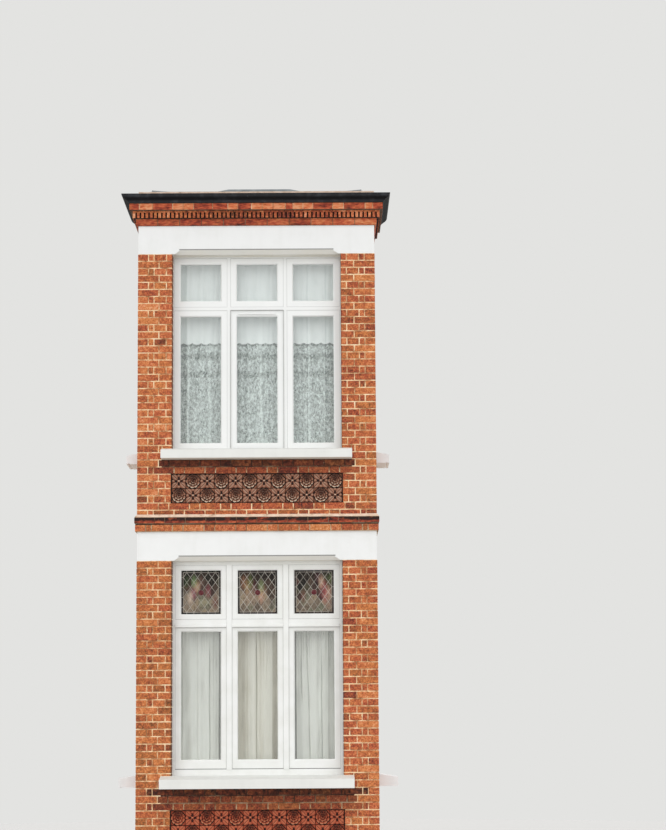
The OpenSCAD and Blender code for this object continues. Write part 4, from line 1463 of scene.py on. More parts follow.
@dataclass
class TilePanels:
    """Two rows of pressed tiles under each window, a dahlia and a leaf cross by turns."""

    columns: int = 12
    rows: int = 2
    joint: float = 2 * MM
    depth: float = 18 * MM
    sunk: float = 4 * MM
    steps: int = 44

    def dahlia(self, x: np.ndarray, y: np.ndarray) -> np.ndarray:
        """Shapes the many-petalled tile, whose rings of petals each rise outwards.

        Args:
            x: places across it, from -1 to 1.
            y: places up it, from -1 to 1.

        Returns:
            Its relief.
        """
        r, angle = np.hypot(x, y), np.arctan2(y, x)
        height = np.where(r > 1.04, 0.35, -0.1)
        rings = ((0.5, 0.97, 9, 0.0, 1.0), (0.22, 0.6, 7, 0.3, 0.95), (0.0, 0.28, 5, 0.0, 0.9))
        for inner, outer, count, turn, lift in rings:
            across = np.abs(np.sin((angle + turn) * count / 2))
            edge = outer - 0.08 * (1 - across)
            rise = np.clip((r - inner) / (edge - inner), 0, 1)
            petal = lift * (-0.05 + 1.05 * rise**1.2) * (1 - 0.7 * np.exp(-((across / 0.25) ** 2)))
            height = np.where((r >= inner) & (r < edge), petal, height)
        return height

    def leaf_cross(self, x: np.ndarray, y: np.ndarray) -> np.ndarray:
        """Shapes the tile with a boss, four drilled holes and four leaves on its diagonals.

        Args:
            x: places across it, from -1 to 1.
            y: places up it, from -1 to 1.

        Returns:
            Its relief.
        """
        r, angle = np.hypot(x, y), np.arctan2(y, x)
        turned = np.mod(angle, math.pi / 2) - math.pi / 4
        along, across = r * np.cos(turned), np.abs(r * np.sin(turned))
        width = 0.46 * np.sin(np.clip((along - 0.3) / 1.14, 0, 1) * math.pi) ** 0.5
        leaf = np.clip(1 - (across / np.maximum(width, 1e-4)) ** 2, 0, 1) ** 0.5 * (along < 1.4)
        leaf = leaf * (1 - 0.35 * np.exp(-((across / 0.06) ** 2)))
        side = np.mod(angle + math.pi / 4, math.pi / 2) - math.pi / 4
        off = np.hypot(r * np.cos(side) - 0.8, r * np.sin(side))
        bud = np.clip(1 - (off / 0.27) ** 2, 0, 1) ** 0.5 * 0.7
        boss = np.clip(1 - (r / 0.19) ** 2, 0, 1) ** 0.5
        height = np.maximum.reduce([leaf * 0.75, bud, 0.5 * (r < 0.5), boss])
        hole = np.hypot(r * np.cos(side) - 0.36, r * np.sin(side)) < 0.165
        return np.where(hole, -0.5, height)

    def tile(
        self, name: str, width: float, height: float, shape: Callable[[np.ndarray, np.ndarray], np.ndarray]
    ) -> Object:
        """Makes one tile as a skirted relief that faces the street.

        Args:
            name: its name.
            width: its width.
            height: its height.
            shape: relief from 0 to 1 for places from -1 to 1.

        Returns:
            The tile, centred on the origin with its plain face at y = 0.
        """
        wide = self.steps + 1
        x, y = np.meshgrid(np.linspace(-1, 1, wide), np.linspace(-1, 1, wide))
        high = np.where(np.maximum(np.abs(x), np.abs(y)) > 0.99, 0.0, shape(x, y))
        face = np.stack([x * width / 2, -high * self.depth, y * height / 2], axis=-1).reshape(-1, 3).tolist()
        order = np.arange(wide * wide).reshape(wide, wide)
        quads = [(k, k + 1, k + wide + 1, k + wide) for k in order[:-1, :-1].ravel().tolist()]
        rim = np.concatenate([order[0, :-1], order[:-1, -1], order[-1, :0:-1], order[:0:-1, 0]]).tolist()
        start, n = len(face), len(rim)
        skirt = [(face[i][0], self.sunk, face[i][2]) for i in rim]
        sides = [(rim[i], start + i, start + (i + 1) % n, rim[(i + 1) % n]) for i in range(n)]
        draft = Draft()
        draft.add([*face, *skirt], [*quads, *sides])
        draft.marks["relief"] = high.ravel().tolist() + [0.0] * n
        return draft.build(name)

    def tree(self, name: str, tiles: Sequence[Object], finish: Material) -> NodeTree:
        """Builds the Geometry Nodes that set the two tiles in rows by turns.

        Args:
            name: the tree's name.
            tiles: the two tiles.
            finish: their material.

        Returns:
            A tree with the inputs Columns, Rows, Tile width, Tile height and Centre.
        """
        tree, given = start_tree(
            name, Columns="Int", Rows="Int", Tile_width="Float", Tile_height="Float", Centre="Vector"
        )
        columns, rows = given["Columns"], given["Rows"]
        spans = [
            add(tree, "MULTIPLY", add(tree, "SUBTRACT", count, 1.0), given[size])
            for count, size in ((columns, "Tile width"), (rows, "Tile height"))
        ]
        grid = add(tree, "GeometryNodeMeshGrid", *spans, columns, rows)
        upright = add(
            tree, "GeometryNodeTransform", grid, Rotation=(math.pi / 2, 0, 0), Translation=given["Centre"]
        )
        index = add(tree, "GeometryNodeInputIndex")
        column = add(tree, "FLOOR", add(tree, "DIVIDE", index, rows))
        turn = add(tree, "MODULO", add(tree, "ADD", column, add(tree, "MODULO", index, rows)), 2.0)
        both = add(tree, "GeometryNodeGeometryToInstance")
        for tile in reversed(tiles):
            shape = add(tree, "GeometryNodeObjectInfo", Object=tile).outputs["Geometry"]
            tree.links.new(shape, both.inputs[0])
        laid = add(
            tree, "GeometryNodeInstanceOnPoints", upright,
            Instance=both, Pick_Instance=True, Instance_Index=turn,
        )
        end_tree(tree, laid, finish)
        return tree

    def make(self, finishes: dict[str, Material]) -> None:
        """Sets the tiles into both panels.

        Args:
            finishes: the finish of each panel by its node.
        """
        for node, finish in finishes.items():
            low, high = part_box(node)
            width, height = (high.x - low.x) / self.columns, (high.z - low.z) / self.rows
            # The lower panel starts with a dahlia at its upper left, the upper one with a cross
            shapes = [("dahlia", self.dahlia), ("leaf", self.leaf_cross)]
            if node == "ground_tile_panel":
                shapes.reverse()
            tiles = [self.tile(f"{node}_{n}", width - self.joint, height - self.joint, s) for n, s in shapes]
            rough = Draft([(0, 0, 0)]).build(node.replace("panel", "reliefs"))
            centre = (0.0, low.y - 0.5 * MM, (low.z + high.z) / 2)
            run_tree(
                rough, self.tree(node, tiles, finish),
                Columns=self.columns, Rows=self.rows, Tile_width=width, Tile_height=height, Centre=centre,
            )
            piece = settled(rough)
            for tile in tiles:
                bpy.data.objects.remove(tile)
            place_piece(piece, finish)


# Leaded lights


@dataclass(frozen=True)
class Light:
    """One top light: the wall that it is in, its middle along and up that wall, and the glass that shows."""

    facing: Facing
    along: float
    inward: float
    up: float
    half_w: float
    half_h: float

    def at(self, x: float, y: float, depth: float) -> Point:
        """Gives a place from the light's middle, behind the face of its glass."""
        return self.facing.turned(self.along + x, self.inward + depth, self.up + y)


@dataclass(frozen=True)
class Glow:
    """A group of brighter quarries: its place across and up the light from -1 to 1, its reach and colour."""

    across: float
    up: float
    reach: float
    colour: str


# The groups of the three front lights, from left to right
GLOWS = [[Glow(*group) for group in light] for light in (
    (
        (-0.28, 0.48, 0.2, "#7f9a68"), (-0.8, 0.42, 0.2, "#2c4426"), (-0.42, 0.08, 0.18, "#93495e"),
        (-0.3, 0.24, 0.14, "#c9a686"), (-0.53, -0.3, 0.16, "#dcc6b2"), (0.28, 0.02, 0.16, "#96545c"),
        (0.05, 0.5, 0.2, "#6c5148"), (0.85, -0.45, 0.16, "#6c3f3a"), (0.2, -0.5, 0.22, "#8f9478"),
    ),
    (
        (-0.7, 0.52, 0.2, "#8c6048"), (-0.42, 0.5, 0.16, "#66703f"), (-0.58, 0.24, 0.2, "#a08560"),
        (0.32, 0.22, 0.17, "#8c9c6a"), (0.26, -0.2, 0.2, "#c4967e"), (-0.1, 0.16, 0.14, "#6c2c3c"),
        (-0.4, -0.25, 0.25, "#a6907c"), (0.8, -0.5, 0.16, "#5f574f"),
    ),
    (
        (0.5, 0.52, 0.18, "#cfab92"), (0.9, 0.7, 0.22, "#57683c"), (0.55, 0.16, 0.2, "#96464e"),
        (0.88, 0.0, 0.2, "#c29a86"), (0.6, -0.26, 0.2, "#ab6862"), (0.2, 0.7, 0.14, "#4c2430"),
        (-0.58, -0.27, 0.14, "#7a5247"), (0.85, -0.55, 0.2, "#9a7d6c"),
    ),
)]


@dataclass
class LeadedLights:
    """Diamond quarries of tinted glass in lead cames, inside a dark border."""

    across: int = 5
    up: int = 4
    border: float = 20 * MM
    bite: float = 10 * MM
    glass_t: float = 4 * MM
    came: float = 4.2 * MM
    came_depth: float = 7 * MM
    glass_in: float = 1 * MM
    came_in: float = 3 * MM
    shortest: float = 6 * MM
    roundel: float = 29 * MM
    roundel_drop: float = 4 * MM
    ring: float = 2.4 * MM
    ring_depth: float = 6 * MM
    spokes: int = 24
    glass: Draft = field(default_factory=Draft)
    lead: Draft = field(default_factory=Draft)
    roundels: Draft = field(default_factory=Draft)
    dice: random.Random = field(default_factory=lambda: random.Random(29))

    def lights(self) -> list[Light]:
        """Reads the lights from the solids of their glass, whose edges the frames cover.

        Returns:
            The lights.
        """
        made = []
        for low, high in solids("ground_leaded_glass"):
            x, y, up = (low + high) / 2
            half_w, half_h = (high.x - low.x) / 2 - self.bite, (high.z - low.z) / 2 - self.bite
            place = (Facing.FRONT, x, low.y)
            if high.x - low.x < high.y - low.y:
                half_w = (high.y - low.y) / 2 - self.bite
                place = (Facing.RIGHT, y, -high.x) if low.x > 0 else (Facing.LEFT, -y, low.x)
            made.append(Light(*place, up, half_w, half_h))
        return made

    def clipped(self, corners: list[Pair], w: float, h: float) -> list[Pair]:
        """Cuts a line or a convex outline to a rectangle around the origin.

        Args:
            corners: its corners.
            w: half the rectangle's width.
            h: half its height.

        Returns:
            The corners of what is left.
        """
        for axis, limit, sign in ((0, w, 1), (0, w, -1), (1, h, 1), (1, h, -1)):
            kept: list[Pair] = []
            for a, b in zip(corners, corners[1:] + corners[:1]):
                da, db = limit - sign * a[axis], limit - sign * b[axis]
                if da >= 0:
                    kept.append(a)
                if da * db < 0:
                    t = da / (da - db)
                    kept.append((a[0] + t * (b[0] - a[0]), a[1] + t * (b[1] - a[1])))
            corners = kept
        return corners

    def tint(self, x: float, y: float, middle: float, draw: float, glows: Sequence[Glow]) -> Point:
        """Chooses a corner's tint: near black above, plum and brown, then smoky beige below, and the glows.

        Args:
            x: the corner's place across the light, from -1 to 1.
            y: its place up the light.
            middle: the quarry's own place up the light.
            draw: the quarry's chance, from 0 to 1.
            glows: the light's brighter groups.

        Returns:
            A linear colour.
        """
        dark = ("#120d0b", "#1a1310", "#201316", "#161613", "#251b15")
        mid = ("#44362e", "#524339", "#3f2f2b", "#494537", "#523732")
        pale = ("#7a6d5e", "#8b7d6c", "#6a5f54", "#94846f", "#757462")
        level = middle + 0.5 * (math.modf(draw * 7)[0] - 0.5)
        group = dark if level > 0.42 else mid if level > -0.12 else pale
        shown = Vector(linear(group[int(draw * len(group))])[:3])
        for glow in glows:
            near = math.hypot(x - glow.across, (y - glow.up) * 1.1) / glow.reach
            shown = shown.lerp(Vector(linear(glow.colour)[:3]), max(0.0, min(1.0, 1.6 - near)))
        return tuple(shown)

    def quarry(self, light: Light, outline: Sequence[Pair], tints: Sequence[Point]) -> None:
        """Adds one pane of tinted glass, tilted a little as old glazing is.

        Args:
            light: its light.
            outline: its corners across and up the light.
            tints: the linear colour of each corner.
        """
        if len(outline) < 3:
            return
        lean, tilt = self.dice.uniform(-0.012, 0.012), self.dice.uniform(-0.012, 0.012)
        cx, cy = (sum(axis) / len(outline) for axis in zip(*outline))
        front, back = [
            [light.at(x, y, self.glass_in + depth + lean * (x - cx) + tilt * (y - cy)) for x, y in outline]
            for depth in (0.0, self.glass_t)
        ]
        self.glass.prism(back, front, tint=tints[0])
        self.glass.marks["tint"][-2 * len(outline) :] = [*tints, *tints]

    def strip(self, light: Light, line: list[Pair], w: float, h: float) -> None:
        """Adds a came along a line, cut to a rectangle of half sizes w and h.

        Args:
            light: its light.
            line: its two ends.
            w: half the rectangle's width.
            h: half its height.
        """
        kept = sorted(self.clipped(line, w, h), key=lambda end: math.dist(end, line[0]))
        if not kept or math.dist(kept[0], kept[-1]) < self.shortest:
            return
        (ax, ay), (bx, by) = kept[0], kept[-1]
        self.lead.add(
            [light.at((ax + bx) / 2, (ay + by) / 2, self.came_in)],
            [],
            module=(math.hypot(bx - ax, by - ay), self.came_depth, self.came),
            joints=(0.0, 0.0, 0.0),
            turn=(0.0, -math.atan2(by - ay, bx - ax), math.radians(light.facing.value)),
        )

    def glaze(self, light: Light) -> None:
        """Fills one light with its quarries, its border and its cames.

        Args:
            light: the light.
        """
        w, h = light.half_w, light.half_h
        iw, ih = w - self.border, h - self.border
        front = light.facing is Facing.FRONT
        glows = GLOWS[1 + (light.along > 0.1) - (light.along < -0.1)] if front else ()
        dw, dh = 2 * iw / (self.across if front else 1), 2 * ih / self.up
        # More rows and columns of diamonds than any light needs: what lies outside is cut away
        for j in range(-10, 11):
            for i in range(-8, 9):
                cx, cy = (i + 0.5 + (j % 2) / 2) * dw, j * dh / 2
                diamond = [(cx, cy + dh / 2), (cx - dw / 2, cy), (cx, cy - dh / 2), (cx + dw / 2, cy)]
                draw = self.dice.random()
                outline = self.clipped(diamond, iw, ih)
                tints = [self.tint(x / iw, y / ih, cy / ih, draw, glows) for x, y in outline]
                self.quarry(light, outline, tints)
        for x0, x1, y0, y1 in ((-w, w, ih, h), (-w, w, -h, -ih), (-w, -iw, -ih, ih), (iw, w, -ih, ih)):
            tint = linear(self.dice.choice(("#211e1d", "#2a2223", "#1c1d1c")))[:3]
            self.quarry(light, [(x0, y1), (x1, y1), (x1, y0), (x0, y0)], [tint] * 4)
        for sign in (1, -1):
            for n in range(-12, 13):
                # Along each came x / dw + sign * y / dh stays n
                self.strip(light, [((n - sign * y / dh) * dw, y) for y in (-ih, ih)], iw, ih)
        sides = ((-iw, ih, iw, ih), (-iw, -ih, iw, -ih), (-iw, -ih, -iw, ih), (iw, -ih, iw, ih))
        for x0, y0, x1, y1 in sides:
            self.strip(light, [(x0, y0), (x1, y1)], iw + MM, ih + MM)
        if front:
            # Short cames cross the border at the points of the diamonds
            for k in range(1 - self.up, self.up, 2):
                for side in (-1, 1):
                    self.strip(light, [(side * iw, k * dh / 2), (side * w, k * dh / 2)], w, h)
            for k in range(1 - self.across, self.across, 2):
                for side in (-1, 1):
                    self.strip(light, [(k * dw / 2, side * ih), (k * dw / 2, side * h)], w, h)
            self.ruby(light)

    def ruby(self, light: Light) -> None:
        """Adds a domed roundel, a little below the light's middle, with the ring of lead around it.

        Args:
            light: its light.
        """
        low, n, rings = self.roundel_drop, self.spokes, 6
        turns = [math.tau * i / n for i in range(n)]
        sizes = [(k / rings, -1.5 * MM - 5 * MM * (1 - (k / rings) ** 2)) for k in range(1, rings + 1)]
        corners = [
            light.at(self.roundel * share * math.cos(a), self.roundel * share * math.sin(a) - low, depth)
            for share, depth in (*sizes, (1, 4 * MM))
            for a in turns
        ]
        faces = [
            (k * n + i, k * n + n + i, k * n + n + (i + 1) % n, k * n + (i + 1) % n)
            for k in range(rings)
            for i in range(n)
        ]
        faces += [tuple(range(n)), tuple(range(rings * n + n - 1, rings * n - 1, -1))]
        self.roundels.add(corners, faces, tint=linear("#64242e")[:3])
        r = self.roundel + 1 * MM
        for a in turns:
            a += math.pi / n
            self.lead.add(
                [light.at(r * math.cos(a), r * math.sin(a) - low, 0.0)],
                [],
                module=(math.tau * r / n + MM, self.ring_depth, self.ring),
                joints=(0.0, 0.0, 0.0),
                turn=(0.0, -(a + math.pi / 2), 0.0),
            )

    def make(self, glass_finish: Material, lead_finish: Material) -> None:
        """Makes the quarries, the roundels and the cames.

        Args:
            glass_finish: finish of the glass.
            lead_finish: finish of the cames.
        """
        for light in self.lights():
            self.glaze(light)
        quarries = self.glass.build("leaded_quarries")
        place_piece(quarries, glass_finish, ["ground_leaded_glass"])
        place_piece(self.roundels.build("ruby_roundels"), glass_finish)
        cames = LaidTree(0.0, 0.0, 1).lay(self.lead, "lead_cames", lead_finish, 1.2 * MM)
        place_piece(cames, lead_finish)


# Curtains


@dataclass(frozen=True)
class Fold:
    """One crease, or a ridge where its depth is negative, in shares of the glass that it shows through.

    It lies at a place across the glass and drifts on its way down, from its top to its foot.
    """

    across: float
    width: float
    depth: float
    drift: float = 0.0
    top: float = 0.0
    foot: float = 1.2
    wiggle: float = 0.004


@dataclass(frozen=True)
class Strip:
    """A strip of cloth that hangs back in the shade: its edges across the glass and how dark it is."""

    start: float
    end: float
    shade: float


@dataclass
class HungCloth:
    """A gathered cloth that hangs from a rod inside the space of its CAD solid."""

    name: str
    space: tuple[Vector, Vector]
    seed: int
    depth: float
    folds: Sequence[Fold]
    strips: Sequence[Strip]
    gathers: float
    waves: int = 5
    lift: float = 0.0
    shown: float = 0.71
    columns: int = 300
    rows: int = 70

    def drape(self, s: np.ndarray, t: np.ndarray) -> tuple[np.ndarray, np.ndarray]:
        """Shapes the cloth.

        Args:
            s: places across it, from 0 to 1.
            t: places down it, from 0 to 1.

        Returns:
            Its depth from -1, towards the window, to 1, and its painted shade, where 0.5 is plain cloth.
        """
        dice = np.random.default_rng(self.seed)
        glass = (s - 0.5) / self.shown + 0.5
        warp = s + sum(
            dice.uniform(-0.06, 0.06) / k * np.sin(math.tau * (k * s + dice.random())) for k in range(1, 5)
        )
        broad = np.cos(math.tau * (warp * self.waves + 0.12 * np.sin(3 * t + dice.random())))
        deep, shade = 0.45 * broad, 0.5 + 0.04 * broad
        # Fine gathers under the heading tape, which fade on their way down
        fine = np.sin(math.tau * (warp * 21 + 0.3 * np.sin(5 * s + dice.random())))
        fade = self.gathers * np.exp(-t / 0.13)
        deep, shade = deep + 0.5 * fade * fine, shade + 0.4 * fade * np.clip(fine, -0.4, 1)
        for fold in self.folds:
            line = fold.across + fold.drift * t + fold.wiggle * np.sin(11 * t + 7 * fold.across)
            reach = np.clip((t - fold.top) / 0.15, 0, 1) * np.clip((fold.foot - t) / 0.15, 0, 1)
            valley = np.exp(-(((glass - line) / fold.width) ** 2))
            shoulder = np.exp(-(((glass - line - 2.2 * fold.width) / (1.4 * fold.width)) ** 2))
            deep = deep + reach * fold.depth * (valley - 0.4 * shoulder)
            shade = shade + reach * fold.depth * (0.55 * valley - 0.12 * shoulder)
        for strip in self.strips:
            edge = 0.012 + 0.01 * np.sin(6 * t)
            within = np.clip((glass - strip.start) / edge, 0, 1) * np.clip((strip.end - glass) / edge, 0, 1)
            shade = shade + strip.shade * within
        # Six long slanting waves keep it from hanging flat
        for _ in range(6):
            fx, fy = dice.uniform(3, 14), dice.uniform(1, 5)
            wave = np.sin(math.tau * (fx * s + fy * t + dice.random())) / 6
            deep, shade = deep + 0.12 * wave, shade + 0.04 * wave
        return np.clip(deep, -1, 1), np.clip(shade, 0, 1)

    def make(self, slot: str, finish: Material, node: str) -> None:
        """Args:
            slot: not used.
            finish: its material.
            node: the CAD node that it stands for.
        """
        low, high = self.space
        wide = self.columns + 1
        s, t = np.meshgrid(np.linspace(0, 1, wide), np.linspace(0, 1, self.rows + 1))
        deep, shade = self.drape(s, t)
        drop = high.z - low.z - self.lift
        # The hem falls a little lower where the cloth comes forward
        hem = np.clip(t - 0.9, 0, 1) * 50 * MM * (deep - deep.min())
        across, inward = low.x + s * (high.x - low.x), (low.y + high.y) / 2 + deep * self.depth
        points = np.stack([across, inward, high.z - t * drop + hem], axis=-1)
        steps = np.linalg.norm(np.diff(points, axis=1), axis=-1)
        arc = np.concatenate([np.zeros((self.rows + 1, 1)), np.cumsum(steps, axis=1)], axis=1)
        corners = (j * wide + i for j in range(self.rows) for i in range(self.columns))
        draft = Draft()
        draft.add(points.reshape(-1, 3).tolist(), [(k, k + wide, k + wide + 1, k + 1) for k in corners])
        # The painted shade goes on the cloth as its hollow mark
        draft.marks["hollow"] = shade.ravel().tolist()
        cloth = draft.build(self.name)
        uv = cloth.data.uv_layers.new(name="cloth")
        woven = np.stack([arc, t * drop], axis=-1).reshape(-1, 2)
        corner = np.empty(len(cloth.data.loops), dtype=int)
        cloth.data.loops.foreach_get("vertex_index", corner)
        uv.data.foreach_set("uv", woven[corner].ravel())
        cloth.data.polygons.foreach_set("use_smooth", [True] * len(cloth.data.polygons))
        place_piece(cloth, finish, [node])


@dataclass
class Hangings:
    """Three voile curtains on the ground floor and three lace nets above."""

    voile: Sequence[Material]
    net: Material
    voile_depth: float = 15 * MM
    net_depth: float = 5 * MM
    hem_lift: float = 100 * MM

    def make(self) -> None:
        """Hangs the cloths."""
        voiles = (
            (
                (
                    Fold(0.395, 0.012, 0.3), Fold(0.45, 0.03, -0.15), Fold(0.7, 0.01, 0.75, 0.01, 0.08),
                    Fold(0.8, 0.012, 0.2), Fold(0.16, 0.1, 0.18, 0.0, 0.2), Fold(0.88, 0.014, 0.15),
                ),
                (Strip(0.93, 1.3, 0.55), Strip(-0.3, 0.03, 0.2)),
                0.35,
            ),
            (
                (
                    Fold(0.456, 0.012, 0.7), Fold(0.56, 0.03, 0.2), Fold(0.71, 0.014, 0.28, 0.0, -0.2, 0.5),
                    Fold(0.34, 0.05, -0.3), Fold(0.64, 0.02, 0.2, -0.03),
                ),
                (Strip(-0.3, 0.245, 0.2), Strip(0.85, 1.3, 0.3)),
                0.3,
            ),
            (
                (
                    Fold(0.155, 0.012, 0.6, 0.02, -0.2, 0.6, 0.012), Fold(0.29, 0.014, 0.5, 0.09),
                    Fold(0.675, 0.01, 0.7, 0.0, 0.15), Fold(0.45, 0.06, -0.2),
                    Fold(0.22, 0.012, 0.35, 0.0, -0.2, 0.35), Fold(0.36, 0.01, 0.4, 0.02, -0.2, 0.3),
                ),
                (Strip(0.83, 1.3, 0.24), Strip(-0.3, 0.035, 0.6)),
                0.6,
            ),
        )
        for index, (space, look) in enumerate(zip(solids("ground_curtains"), voiles)):
            # The left curtain's hem shows above its window board
            lift = self.hem_lift if index == 0 else 0.0
            name, seed = f"voile_curtain_{index + 1}", 40 + index
            cloth = HungCloth(name, space, seed, self.voile_depth, *look, lift=lift)
            cloth.make("cream_curtain", self.voile[index], "ground_curtains")
        nets = (
            (
                (Fold(0.19, 0.035, -0.5, -0.06, 0.1), Fold(0.7, 0.03, -0.3, 0.0, 0.2)),
                (Strip(-0.3, 0.12, 0.22),),
            ),
            ((Fold(0.57, 0.03, -0.6, 0.03, 0.15, 1.2, 0.012), Fold(0.2, 0.05, 0.2, 0.0, 0.3)), ()),
            (
                (Fold(0.39, 0.03, -0.5, 0.0, 0.15), Fold(0.79, 0.012, -0.4), Fold(0.35, 0.012, 0.3)),
                (Strip(0.8, 1.3, 0.14),),
            ),
        )
        for index, (space, look) in enumerate(zip(solids("first_curtains"), nets)):
            name, seed = f"lace_net_{index + 1}", 60 + index
            cloth = HungCloth(name, space, seed, self.net_depth, *look, gathers=0.06, waves=7)
            cloth.make("lace_net", self.net, "first_curtains")


# Sash seals and painted shadow lines


@dataclass
class SealsAndShadowLines:
    """Rubber seals around the sashes, chalky, with strips of painted shadow: dark under each sash, grey under
    the transom.
    """

    face: float = 0.8 * MM
    back: float = 8 * MM
    side: float = 3 * MM
    foot: float = 7.5 * MM

    def ring(self, drafts: dict[str, Draft], low: Vector, high: Vector, shaded: bool) -> None:
        """Adds the four strips around one sash, just proud of its outer face.

        Args:
            drafts: meshes of the pale seals, and of the dark and the grey strips of painted shadow.
            low: lowest corner of the sash.
            high: highest corner.
            shaded: whether a transom keeps its head in the shade.
        """
        facing, inward, start, end = Facing.FRONT, low.y, low.x, high.x
        if high.y - low.y > high.x - low.x:
            facing, inward, start, end = Facing.LEFT, low.x, -high.y, -low.y
            if low.x > 0:
                facing, inward, start, end = Facing.RIGHT, -high.x, low.y, high.y
        # Over a ground-floor casement the head strip is grey: painted shadow of the transom
        head, rise = ("grey", self.foot) if shaded else ("pale", self.side)
        strips = (
            ("pale", start - self.side, low.z, start, high.z),
            ("pale", end, low.z, end + self.side, high.z),
            (head, start - self.side, high.z, end + self.side, high.z + rise),
            # Under each sash a dark strip: painted shadow of the gap under it
            ("dark", start - self.side, low.z - self.foot, end + self.side, low.z),
        )
        for tone, x0, z0, x1, z1 in strips:
            section = ((x0, z0), (x1, z0), (x1, z1), (x0, z1))
            rings = [[facing.turned(x, inward + d, z) for x, z in section] for d in (self.back, -self.face)]
            drafts[tone].prism(*rings)

    def make(self, finishes: dict[str, Material]) -> None:
        """Makes the seals and the strips of painted shadow of both storeys.

        Args:
            finishes: the finish of each tone of strip.
        """
        for storey, slot in (("ground", "painted_timber"), ("first", "white_plastic")):
            drafts = {tone: Draft() for tone in finishes}
            for node in (f"{storey}_casements", f"{storey}_top_lights"):
                for low, high in solids(node):
                    self.ring(drafts, low, high, node == "ground_casements")
            for tone, draft in drafts.items():
                if draft.faces:
                    place_piece(draft.build(f"{storey}_{tone}_seals"), finishes[tone])


# The studio


@dataclass(frozen=True)
class Studio:
    """Plain pale floor, soft lamps and the photograph's viewpoint."""

    place: Point = (0.686, -20.3, 1.924)
    pitch: float = 6.105
    yaw: float = 0.324
    roll: float = -0.358
    focal_px: float = 1910.4
    picture_h: float = 830.0
    shift_up: float = 0.12
    floor_radius: float = 17.0
    floor_sides: int = 96

    def camera(self) -> None:
        """Makes the camera from the angles solved from edges of known size."""
        pitch, yaw, roll = (math.radians(v) for v in (self.pitch, self.yaw, self.roll))
        ahead = Vector((math.sin(yaw) * math.cos(pitch), math.cos(yaw) * math.cos(pitch), math.sin(pitch)))
        right = Vector((math.cos(yaw), -math.sin(yaw), 0))
        up = right.cross(ahead)
        across = right * math.cos(roll) + up * math.sin(roll)
        above = up * math.cos(roll) - right * math.sin(roll)
        data = bpy.data.cameras.new("viewpoint")
        data.sensor_fit, data.sensor_width = "AUTO", 36.0
        data.lens = self.focal_px * data.sensor_width / self.picture_h
        data.shift_y = self.shift_up
        camera = bpy.data.objects.new("viewpoint", data)
        turn = Matrix((across, above, -ahead)).transposed()
        camera.matrix_world = Matrix.Translation(self.place) @ turn.to_4x4()
        bpy.context.scene.collection.objects.link(camera)
        bpy.context.scene.camera = camera

    def lamp(self, name: str, turn: Pair, strength: float, spread: float) -> None:
        """Makes a soft sun.

        Args:
            name: its name.
            turn: where it stands: degrees to the right of the street view, and above the horizon.
            strength: its strength.
            spread: its angle in degrees.
        """
        around, height = (math.radians(v) for v in turn)
        level = math.cos(height)
        towards = Vector((math.sin(around) * level, -math.cos(around) * level, math.sin(height)))
        data = bpy.data.lights.new(name, "SUN")
        data.energy, data.angle = strength, math.radians(spread)
        lamp = bpy.data.objects.new(name, data)
        lamp.rotation_euler = towards.to_track_quat("Z", "Y").to_euler()
        bpy.context.scene.collection.objects.link(lamp)

    def sky(self, fill: float, shown: str) -> None:
        """Lights the object evenly and shows a pale background.

        Args:
            fill: strength of the even light.
            shown: colour that the camera, gloss and glass see.
        """
        world = bpy.data.worlds.new("pale_surround")
        world.use_nodes = True
        tree = world.node_tree
        tree.nodes.clear()
        path = add(tree, "LightPath").outputs
        seen = add(tree, "MAXIMUM", path["Is Camera Ray"], path["Is Glossy Ray"])
        seen = add(tree, "MAXIMUM", seen, path["Is Transmission Ray"])
        light, wall = add(tree, "Background", "#ffffff", fill), add(tree, "Background", shown, 1.0)
        add(tree, "OutputWorld", add(tree, "MixShader", seen, light, wall))
        bpy.context.scene.world = world

    def floor(self, finish: Material) -> None:
        """Lays a round pale floor under the object.

        Args:
            finish: its material.
        """
        turns = [math.tau * i / self.floor_sides for i in range(self.floor_sides)]
        ring = [(self.floor_radius * math.cos(a), self.floor_radius * math.sin(a), -1 * MM) for a in turns]
        floor = Draft(ring, [tuple(range(len(ring)))]).build("studio_floor")
        floor.data.materials.append(finish)

    def make(self) -> None:
        """Sets up the view, the lamps, the surround and the floor."""
        self.camera()
        self.lamp("front_sky", (-2, 40), 1.46, 92)
        self.lamp("back_fill", (160, 40), 0.9, 90)
        self.sky(0.6, "#e3e3e1")
        self.floor(PaleFloor("pale_floor", 0.9, "#d8d7d5").build())
        bpy.context.scene.view_settings.view_transform = "Standard"


